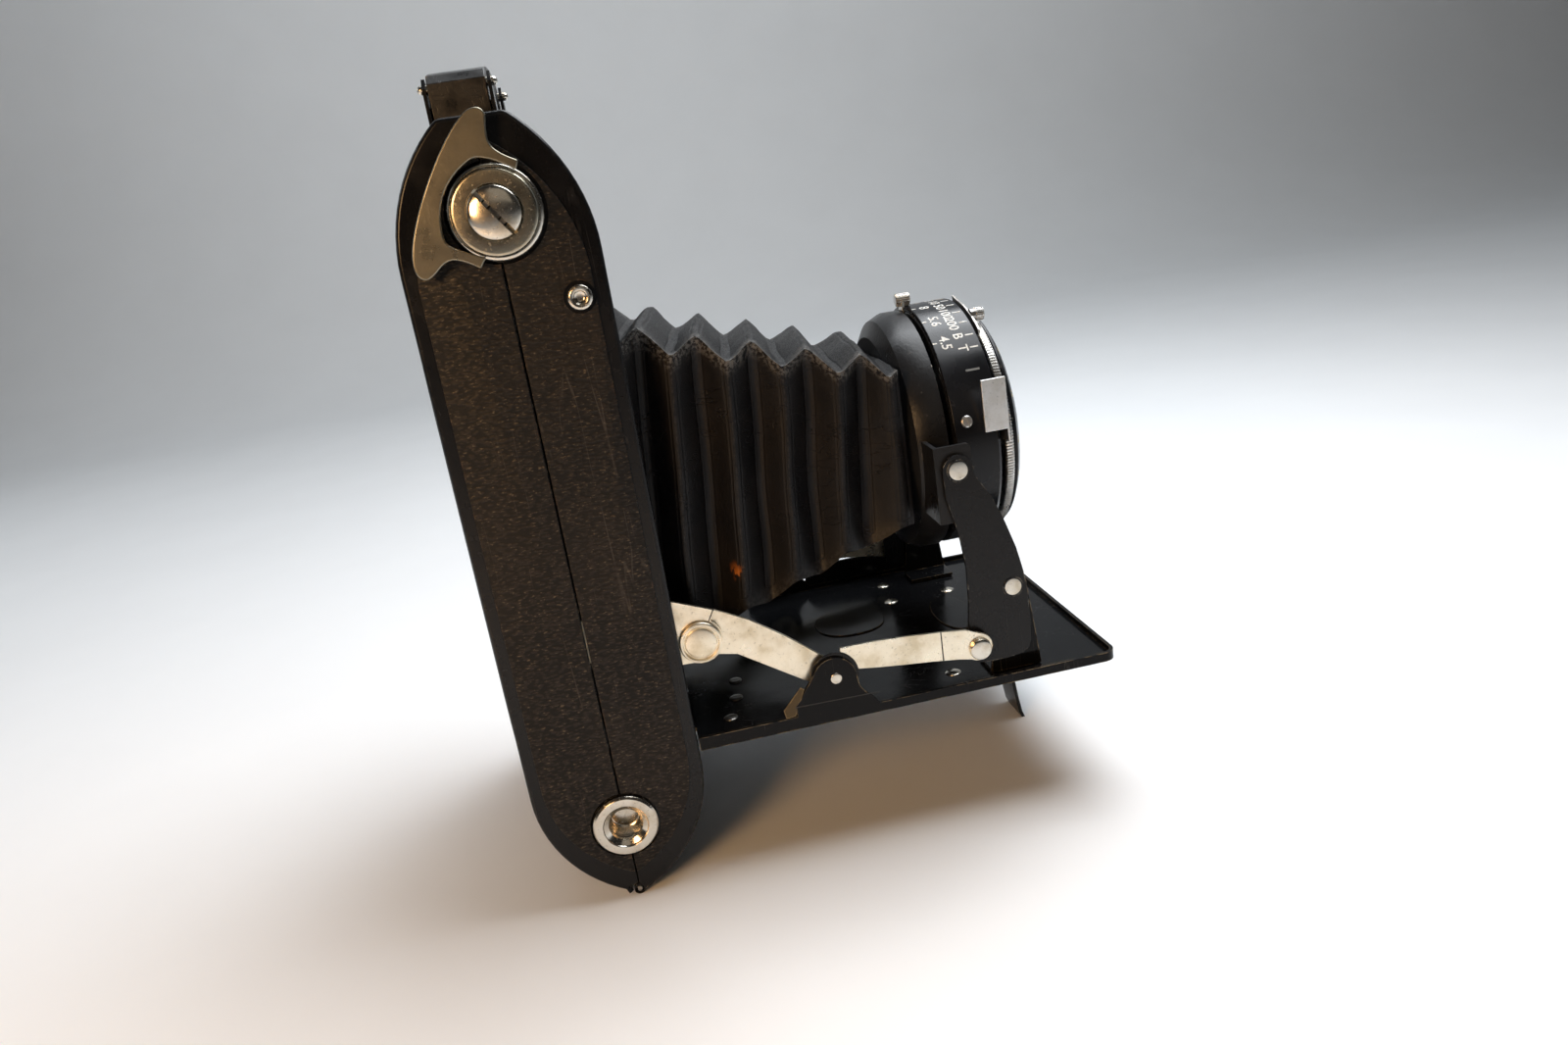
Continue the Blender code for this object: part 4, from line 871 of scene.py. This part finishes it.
def make_bed_fastenings():
    for i, spot in enumerate(BED_RIVETS):
        profile = dome(1.9, 0.5) + [(1.9, -0.05), (0.0, -0.05)]
        head = turned(f"bed_rivet_{i + 1}", profile, (*spot, BED_FLOOR), (0, 0, 1), 48, 0.0)
        settle(head, "nickel", "bed")
    for i, (x, y) in enumerate(BED_SCREWS):
        profile = [(0.0, 0.45), (1.2, 0.45), (1.6, 0.2), (1.6, -0.05), (0.0, -0.05)]
        head = turned(f"bed_screw_{i + 1}", profile, (x, y, BED_FLOOR), (0, 0, 1), 48)
        slot = block("slot", (x - 3.0, x + 3.0), (y - 0.22, y + 0.22), (BED_FLOOR + 0.15, BED_FLOOR + 1.0))
        settle(cut(head, slot), "steel", "bed", sharp=30.0)


def make_ears():
    tab = plate("ear_tab", EAR_TAB, *beside(NEAR, EAR_FACE - 0.3, EAR_FACE), "XZ", edge=0.1)
    settle(tab, "worn", "bed")
    for side, side_name in SIDES:
        refined("strut_bracket_" + side_name, "bed", 0.12)
        point = (EAR_RIVET[0], side * EAR_FACE, EAR_RIVET[1])
        rivet("ear_rivet_" + side_name, point, side, 1.25, 0.28, "bed")
        span = beside(side, EAR_FACE + 0.01, EAR_FACE + 0.09)
        fold = plate("ear_fold_" + side_name, EAR_FOLD, *span, "XZ", edge=0.0)
        settle(fold, "dark", "bed", weighted=False)
        washer = plate("ear_washer_" + side_name, EAR_WASHER, *beside(side, 39.62, 39.88), "XZ", edge=0.1)
        settle(washer, "enamel", "bed")


def make_bed():
    refined("bed", "bed", 0.15)
    refined("foot", "enamel", 0.12)
    refined("foot_pin", "steel", 0.08)
    make_bed_leather()
    for name, outline in BED_PADS.items():
        pad = plate("bed_pad_" + name, outline, BED_FLOOR - 0.05, BED_FLOOR + 0.35, "XY", edge=0.19)
        settle(pad, "bed", "bed")
    make_bed_fastenings()
    settle(plate("bed_dark_strip_far", FAR_DARK_STRIP, 40.0, 40.6, "XZ"), "enamel", "bed")
    make_ears()


# ---- links and struts

LINK_FACE = 39.55
LINES = (                       # engraved lines on the links: name, ends in X and Z, body
    ("knee_cut_", (27.25, 61.7), (25.8, 59.1), "body_links"),
    ("push_scribe_", (75.6, 45.5), (75.5, 38.6), "push_links"),
)
RIVETS = (                      # name, (x, y, z), radius, height, body
    ("push_rivet_", (84.0, 40.3, 39.7), 2.4, 0.55, "push_links"),
    ("strut_rivet_", (93.7, 37.35, 51.7), 2.3, 0.35, "lens_struts"),
    ("standard_rivet_", (84.0, 37.35, 80.5), 2.5, 0.35, "lens_struts"),
)
KNEE_HEAD = [
    (0.0, 0.85), (2.9, 0.85), (3.3, 0.72), (3.45, 0.4), (3.75, 0.4), (3.9, 0.72), (4.1, 0.8),
    (4.45, 0.72), (4.6, 0.4), (4.6, 0.0), (1.2, 0.0), (1.2, -0.9), (0.0, -0.9),
]


def make_links():
    for side, side_name in SIDES:
        for name in ("body_link_", "brace_link_", "push_link_"):
            refined(name + side_name, "links", 0.12)
        refined("lens_strut_" + side_name, "enamel", 0.14)
        base = (KNEE.x, side * 39.9, KNEE.z)
        turned_part("knee_rivet_" + side_name, "links", KNEE_HEAD, base, (0, side, 0), 96, 0.06)
        for name, (x0, z0), (x1, z1), body in LINES:
            outline = [(x0, z0), (x1, z1), (x1 - 0.28, z1), (x0 - 0.28, z0)]
            span = beside(side, LINK_FACE, LINK_FACE + 0.09)
            groove = plate(name + side_name, outline, *span, "XZ", edge=0.0)
            settle(groove, "dark", body, weighted=False)
        for name, (x, y, z), radius, height, body in RIVETS:
            rivet(name + side_name, (x, side * y, z), side, radius, height, body)


# ---- lens standard and shutter

LENS_BASE = (0.0, 0.0, LENS.z)
AHEAD = (1, 0, 0)
STRIP_REACH = 84.0              # the scale strip runs this many degrees to either side of the top
STRIP_SCREW = (89.66, -77.9)    # x, and degrees from the top
STOPS = (("22", -34.3), ("16", -19.3), ("11", -4.3), ("8", 10.7), ("5.6", 25.7), ("4.5", 40.7))
SPEEDS = (("2", -9.5), ("5", -2.5), ("10", 5.0), ("50", 13.0), ("100", 21.2), ("200", 29.6),
          ("B", 38.1), ("T", 45.1))
DISTANCES = (("15", 68.0), ("10", 92.0), ("8", 112.0), ("6", 130.0), ("30", 42.0), ("5", 15.0),
             ("4", -15.0), ("3", -45.0), ("2", -80.0))
BLADES = 10
BLADE_REACH = 60                # degrees that one iris blade covers
GRIPS = (                       # knurled knobs: name, body, (x, y, z), length
    ("cocking_grip", "cocking_lever", (99.2, -12.2, 109.2), 2.3),
    ("aperture_grip", "aperture_lever", (84.4, 0.0, 113.9), 3.5),
)


def at_drum(radius, angle):
    """(y, z) on a circle round the lens axis; angles run from the top towards the near side."""
    return (-radius * sin(radians(angle)), LENS.z + radius * cos(radians(angle)))


def ring_sector(name, inner, outer, start, end, low, high, steps, edge):
    angles = [start + (end - start) * i / steps for i in range(steps + 1)]
    outline = [at_drum(outer, angle) for angle in angles]
    outline += [at_drum(inner, angle) for angle in reversed(angles)]
    return plate(name, outline, low, high, "YZ", edge=edge)


def wrapped_text(name, words, size, angle, front, radius, look, body, lean=0.0):
    """Figures that read down a drum, their feet towards the body; lean tips them onto a cone."""
    data = bpy.data.curves.new(name, "FONT")
    data.body = words
    data.size = size
    data.align_x = "CENTER"
    data.align_y = "CENTER"
    data.extrude = 0.03
    data.offset = 0.035
    data.resolution_u = 3
    text = link_mesh(name + "_words", data)
    mesh = evaluated_mesh(text)
    bpy.data.objects.remove(text, do_unlink=True)
    lean = radians(lean)
    for vertex in mesh.vertices:
        along, up, out = vertex.co
        forward = up * cos(lean) + out * sin(lean)
        outward = out * cos(lean) - up * sin(lean)
        vertex.co = place(front + forward, *at_drum(radius + outward, angle + degrees(along / radius)))
    return settle(link_mesh(name, tidied(mesh)), look, body, weighted=False)


def tick(name, angle, start, end, look, width=0.36):
    """A short engraved line on the drum, along the lens axis."""
    half = degrees(width / 2 / DRUM_RADIUS)
    low, high = DRUM_RADIUS - 0.02, DRUM_RADIUS + 0.04
    line = ring_sector(name, low, high, angle - half, angle + half, start, end, 2, 0.0)
    settle(line, look, "lens_standard", weighted=False)


def make_scales():
    for words, angle in STOPS:
        name = words.replace(".", "_")
        wrapped_text("stop_" + name, words, 3.3, angle, 89.6, DRUM_RADIUS, "white", "lens_standard")
        tick("stop_tick_" + name, angle - 0.4, 86.8, 87.8, "white")
    for words, angle in SPEEDS:
        wrapped_text("speed_" + words, words, 3.2, angle, 93.0, DRUM_RADIUS, "white", "lens_standard")
        tick("speed_tick_" + words, angle + 0.2, 94.7, 96.6, "white")
    tick("index_dark", 56.2, 92.0, 95.2, "steel", 0.5)


def make_strip_screws():
    x, angle = STRIP_SCREW
    for side, side_name in SIDES:
        y, z = at_drum(DRUM_RADIUS - 0.6, side * angle)
        outward = (0, y, z - LENS.z)
        head = [(0.0, 0.95), (1.1, 0.92), (1.35, 0.7), (1.35, 0.0), (0.0, 0.0)]
        screw = turned("strip_screw_" + side_name, head, (x, y, z), outward, 48)
        slot = block("slot", (-0.15, 0.15), (-2.0, 2.0), (0.62, 2.0))
        turn = Matrix.Rotation(radians(20.0), 4, "Z")
        slot.data.transform(axis_matrix((x, y, z), outward) @ turn @ Matrix.Translation(-ORIGIN))
        settle(cut(screw, slot), "bright", "lens_standard", sharp=30.0)


def make_iris():
    for i in range(BLADES):
        turn = 360.0 * i / BLADES
        steps = range(0, BLADE_REACH + 1, 6)
        outline = [at_drum(11.8, turn + a) for a in steps]
        outline += [at_drum(5.2 + 3.2 * (1.0 - a / BLADE_REACH), turn + a) for a in reversed(steps)]
        start = 90.0 + 0.14 * i
        blade = plate(f"iris_blade_{i + 1}", outline, start, start + 0.1, "YZ", edge=0.02)
        settle(blade, "steel", "lens_standard", weighted=False)


def make_shutter():
    refined("lens_standard", "satin", 0.3, 3, 28.0)
    case = [(14.5, 98.0), (22.0, 98.0), (26.0, 97.7), (28.1, 97.3), (28.6, 96.6), (28.6, 87.2),
            (28.1, 86.6), (14.0, 86.6), (14.0, 76.7), (12.4, 76.7), (12.4, 101.0), (14.5, 101.0)]
    turned_part("shutter_case", "scale", case, LENS_BASE, AHEAD, 192, 0.15)
    strip = ring_sector("scale_strip_fine", 28.7, DRUM_RADIUS, -STRIP_REACH, STRIP_REACH,
                        86.6, 97.4, 120, 0.25)
    settle(strip, "scale", "lens_standard", "scale_strip")
    make_scales()
    make_strip_screws()
    rear = [(0.0, 79.6), (3.0, 79.54), (6.0, 79.36), (9.6, 79.0), (12.0, 79.0), (12.0, 77.0),
            (9.4, 77.0), (6.0, 77.3), (3.0, 77.52), (0.0, 77.6)]
    turned_part("rear_lens", "glass", rear, LENS_BASE, AHEAD, 96, 0.05)
    make_iris()


def make_rings():
    speed = [(14.9, 100.9), (26.8, 100.9), (27.25, 100.6), (27.25, 99.1), (26.8, 98.85), (14.9, 98.85)]
    turned_part("speed_ring", "bright", speed, LENS_BASE, AHEAD, 96, 0.08, (240, 0.5, 26.5),
                sharp=32.0, weighted=False)
    focus = [(13.5, 105.8), (17.0, 105.8), (18.6, 104.95), (24.0, 103.2), (25.9, 102.15),
             (26.15, 101.95), (26.15, 101.35), (12.9, 101.35), (12.9, 103.2), (11.6, 103.2),
             (11.6, 104.0), (12.9, 104.6)]
    turned_part("focus_ring", "scale", focus, LENS_BASE, AHEAD, 192, 0.15)
    for words, angle in DISTANCES:
        wrapped_text("distance_" + words, words, 2.0, angle, 102.68, 24.95, "cream", "focus_ring", 61.0)
    front = [(0.0, 103.0), (2.0, 102.96), (4.0, 102.8), (6.0, 102.55), (8.0, 102.2), (10.0, 101.7),
             (11.3, 101.3), (11.3, 99.6), (0.0, 99.6)]
    turned_part("front_lens", "glass", front, LENS_BASE, AHEAD, 96, 0.05)


def make_levers():
    refined("cocking_lever", "steel", 0.08)
    refined("release_lever", "bright", 0.15)
    refined("aperture_lever", "nickel", 0.1)
    for name, body, base, length in GRIPS:
        profile = [(0.0, length), (1.2, length), (1.62, length - 0.3), (1.62, 0.3), (1.2, 0.0), (0.0, 0.0)]
        grip = turned(name, profile, base, AHEAD, 48, 0.05, 18, 0.22, 1.5)
        settle(grip, "bright", body, sharp=32.0, weighted=False)


# ---- bellows

PLEAT = 11.7                    # distance between folds
FIRST_TOP_FOLD = 21.4           # where a fold of the top stands out at the near corner
BELLOWS_SKEW = 0.11             # how far the folds run forward per millimetre across the camera
FOLD_LEAN = 0.08                # how far the folds of the sides run back on their way down
WORN_SPOT = Vector((33.0, -32.0, 66.0))
NEAR_CORNER = 31.0              # where BELLOWS_SKEW starts, from the middle plane
STRAIGHT, SOFT = 0.72, 0.28     # how much of a fold is straight walls, and how much soft turns
BELLOWS_LEATHER = 0.4
SWAY_SEED = 7                   # the noise that bends the folds is drawn afresh each run without it
BELLOWS_REAR, BELLOWS_FRONT = (corner.x for corner in corners("bellows"))
HALF_WIDTHS = ((BELLOWS_REAR, 32.2), (20.0, 32.4), (BELLOWS_FRONT, 26.6))
TOPS = ((BELLOWS_REAR, 123.5), (FIRST_TOP_FOLD, 118.8), (BELLOWS_FRONT, 102.6))
BOTTOMS = ((BELLOWS_REAR, 41.5), (20.0, 48.0), (37.5, 55.6), (BELLOWS_FRONT, 67.4))


def soft_wave(x, first):
    """One at a fold that stands out, minus one at a fold that lies in, with soft turns."""
    phase = (x - first) / PLEAT % 1.0
    straight = 1.0 - 4.0 * min(phase, 1.0 - phase)
    smooth = cos(2.0 * pi * phase)
    return STRAIGHT * straight + SOFT * smooth


def between(x, points):
    """A value read from straight lines through (x, value) points."""
    for (x0, v0), (x1, v1) in zip(points, points[1:]):
        if x <= x1:
            return v0 + (v1 - v0) * (x - x0) / (x1 - x0)
    return points[-1][1]


def bellows_ring(x, per_side):
    """Points round the bellows at x, each with its share of fold and its distance from a corner."""
    fade = min(1.0, (x - BELLOWS_REAR) / 4.0, (BELLOWS_FRONT - x) / 2.5)
    half, top, low = between(x, HALF_WIDTHS), between(x, TOPS), between(x, BOTTOMS)
    points = []
    for side in range(4):
        for i in range(per_side):
            share = i / per_side
            turn = 1.0 - 2.0 * share
            y_share = (turn, -1.0, -turn, 1.0)[side]
            skewed = x - BELLOWS_SKEW * (y_share * half + NEAR_CORNER)
            top_wave = soft_wave(skewed, FIRST_TOP_FOLD)
            side_wave = soft_wave(skewed, FIRST_TOP_FOLD + PLEAT / 2)
            corner_y = half + 1.5 * side_wave * fade
            inward = sin(pi * share) ** 0.35 if 0.0 < share < 1.0 else 0.0
            rise = (2.3 + 0.9 * inward) * top_wave * fade
            high_z = top + rise + 0.5 * inward * fade
            low_z = low - (1.2 + 1.0 * inward) * top_wave * fade
            if side in (0, 2):
                y = y_share * corner_y
                z = high_z if side == 0 else low_z
                wave = top_wave
            else:
                y = y_share * (corner_y - inward * 1.3 * (1.0 - side_wave) * fade)
                corner_high = top + 2.3 * top_wave * fade
                corner_low = low - 1.2 * top_wave * fade
                z_share = share if side == 1 else 1.0 - share
                z = corner_high + (corner_low - corner_high) * z_share
                wave = side_wave
            points.append((y, z, wave, min(share, 1.0 - share)))
    return points


def bellows_mesh():
    """Pleated leather: folds of the sides lie halfway between the folds of top and bottom."""
    noise.seed_set(SWAY_SEED)
    steps = int((BELLOWS_FRONT - BELLOWS_REAR) / PLEAT * 12)
    work = bmesh.new()
    marks = {"fold": [], "corner": [], "spot": []}
    rings = []
    for k in range(steps + 1):
        x = BELLOWS_REAR + (BELLOWS_FRONT - BELLOWS_REAR) * k / steps
        fade = min(1.0, (x - BELLOWS_REAR) / 10.0, (BELLOWS_FRONT - x) / 8.0)
        ring = []
        for y, z, wave, corner in bellows_ring(x, 18):
            sway = noise.noise_vector(Vector((x, y, z)) * 0.045)
            ripple = noise.noise(Vector((x * 0.25, y * 0.25, z * 0.25)))
            lean = (z - 108.0) * FOLD_LEAN * fade
            at = Vector((x + lean + sway.x * 0.7, y + sway.y * 0.8 + ripple * 0.25,
                         z + sway.z * 0.7 + ripple * 0.3))
            at.x = min(max(at.x, BELLOWS_REAR), BELLOWS_FRONT)
            ring.append(work.verts.new(place(*at)))
            marks["fold"].append(wave)
            marks["corner"].append(corner)
            marks["spot"].append(max(0.0, 1.0 - (at - WORN_SPOT).length / 5.0))
        rings.append(ring)
    for first, second in zip(rings, rings[1:]):
        for i in range(len(first)):
            k = (i + 1) % len(first)
            work.faces.new((first[i], first[k], second[k], second[i]))
    bmesh.ops.recalc_face_normals(work, faces=work.faces)
    mesh = mesh_from(work, "pleated_bellows")
    for mark, values in marks.items():
        mesh.attributes.new(mark, "FLOAT", "POINT").data.foreach_set("value", values)
    return mesh


def make_bellows():
    bellows = link_mesh("pleated_bellows", bellows_mesh())
    shell = bellows.modifiers.new("leather", "SOLIDIFY")
    shell.thickness = BELLOWS_LEATHER * MM
    shell.offset = -1.0
    bellows.data = evaluated_mesh(bellows)
    bellows.modifiers.clear()
    settle(bellows, "bellows", "camera_body", "bellows", sharp=80.0, weighted=False)
    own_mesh(bellows)


# ---- stage


PAPER = (0.93, 0.94, 0.95)
PAPER_HALF = 1.6                # metres, as are the next four
PAPER_FRONT = -1.6
PAPER_BACK = 1.15
PAPER_BEND = 0.35
PAPER_TOP = 1.6
TARGET = (0.0, 0.0, 0.05)
LIGHTS = (                      # name, spot and aim in metres, size in metres, watts, colour
    ("window_light", (0.16, 0.08, 0.52), TARGET, (0.42, 0.33), 3.4, (0.94, 0.97, 1.0)),
    ("backdrop_light", (0.1, 0.35, 1.0), (0.1, 1.15, 0.35), (0.9, 0.3), 4.2, (0.90, 0.96, 1.0)),
    ("side_fill", (-0.80, 0.25, 0.45), TARGET, (0.5, 0.5), 1.2, (0.92, 0.96, 1.0)),
    ("front_fill", (0.10, -0.85, 0.55), TARGET, (0.5, 0.5), 0.22, (1.0, 0.88, 0.72)),
    ("table_lamp", (-0.26, -0.36, 0.22), (-0.06, -0.05, 0.0), (0.14, 0.14), 0.9, (1.0, 0.60, 0.28)),
)


def area_light(name, spot, aim, size, power, colour):
    data = bpy.data.lights.new(name, "AREA")
    data.shape = "RECTANGLE"
    data.size, data.size_y = size
    data.energy = power
    data.color = colour
    light = bpy.data.objects.new(name, data)
    SCENE.collection.objects.link(light)
    light.location = spot
    light.rotation_euler = (Vector(aim) - Vector(spot)).to_track_quat("-Z", "Y").to_euler()


def paper_look():
    """Pale paper with a faint mottle."""
    made, tree, shader = new_look("pale_paper")
    colour = blend_colour(tree, clouds(tree, 14.0), PAPER, scaled(PAPER, 0.94))
    roughness = add(tree, "Value").outputs[0]
    roughness.default_value = 0.75
    finish(shader, colour, roughness, bump(tree, clouds(tree, 700.0, 3.0), 0.02, 0.15))
    return made


def make_paper():
    """A sheet on the ground that bends up behind the camera."""
    turn = PAPER_BACK - PAPER_BEND
    section = [(PAPER_FRONT, 0.0), (turn, 0.0)]
    section += [(y, z) for y, z in arc((turn, PAPER_BEND), PAPER_BEND, -84.0, 0.0, 14)]
    section.append((PAPER_BACK, PAPER_TOP))
    work = bmesh.new()
    rows = [[work.verts.new((x, y, z)) for x in (-PAPER_HALF, PAPER_HALF)] for y, z in section]
    for low_row, high_row in zip(rows, rows[1:]):
        work.faces.new((low_row[0], low_row[1], high_row[1], high_row[0]))
    mesh = mesh_from(work, "paper_sweep")
    mesh.shade_smooth()
    sweep = link_mesh("paper_sweep", mesh)
    sweep.data.materials.append(paper_look())


def make_stage():
    make_paper()
    world = bpy.data.worlds.new("studio")
    world.use_nodes = True
    tree = world.node_tree
    direction = add(tree, "TexCoord").outputs["Generated"]
    deep = add(tree, "SeparateXYZ", {0: direction}).outputs["Y"]
    shade = blend_colour(tree, remap(tree, deep, -0.2, 0.7), (0.020, 0.019, 0.018), (0.36, 0.39, 0.43))
    tree.links.new(shade, tree.nodes["Background"].inputs["Color"])
    SCENE.world = world
    SCENE.view_settings.view_transform = "Standard"
    for light in LIGHTS:
        area_light(*light)


CAMERA_SPOT = (16.637, -256.895, 144.237)
CAMERA_YAW = 7.388
CAMERA_PITCH = -16.98
CAMERA_ROLL = 8.955
SENSOR = 36.0
FOCAL_LENGTH = 25.2


def make_camera():
    yaw, pitch, roll = (radians(angle) for angle in (CAMERA_YAW, CAMERA_PITCH, CAMERA_ROLL))
    forward = Vector((sin(yaw) * cos(pitch), cos(yaw) * cos(pitch), sin(pitch)))
    level = forward.cross(Vector((0.0, 0.0, 1.0))).normalized()
    upright = level.cross(forward)
    right = level * cos(roll) - upright * sin(roll)
    up = upright * cos(roll) + level * sin(roll)
    data = bpy.data.cameras.new("camera")
    data.lens = FOCAL_LENGTH
    data.sensor_width = SENSOR
    data.clip_start = 0.01
    camera = bpy.data.objects.new("camera", data)
    rotation = Matrix((right, up, -forward)).transposed().to_4x4()
    camera.matrix_world = Matrix.Translation(place(*CAMERA_SPOT)) @ rotation
    SCENE.collection.objects.link(camera)
    SCENE.camera = camera


make_camera()
make_stage()
make_body()
make_back_wall()
make_winder()
make_end_fittings()
make_strap()
make_finder()
make_bed()
make_links()
make_shutter()
make_rings()
make_levers()
make_bellows()
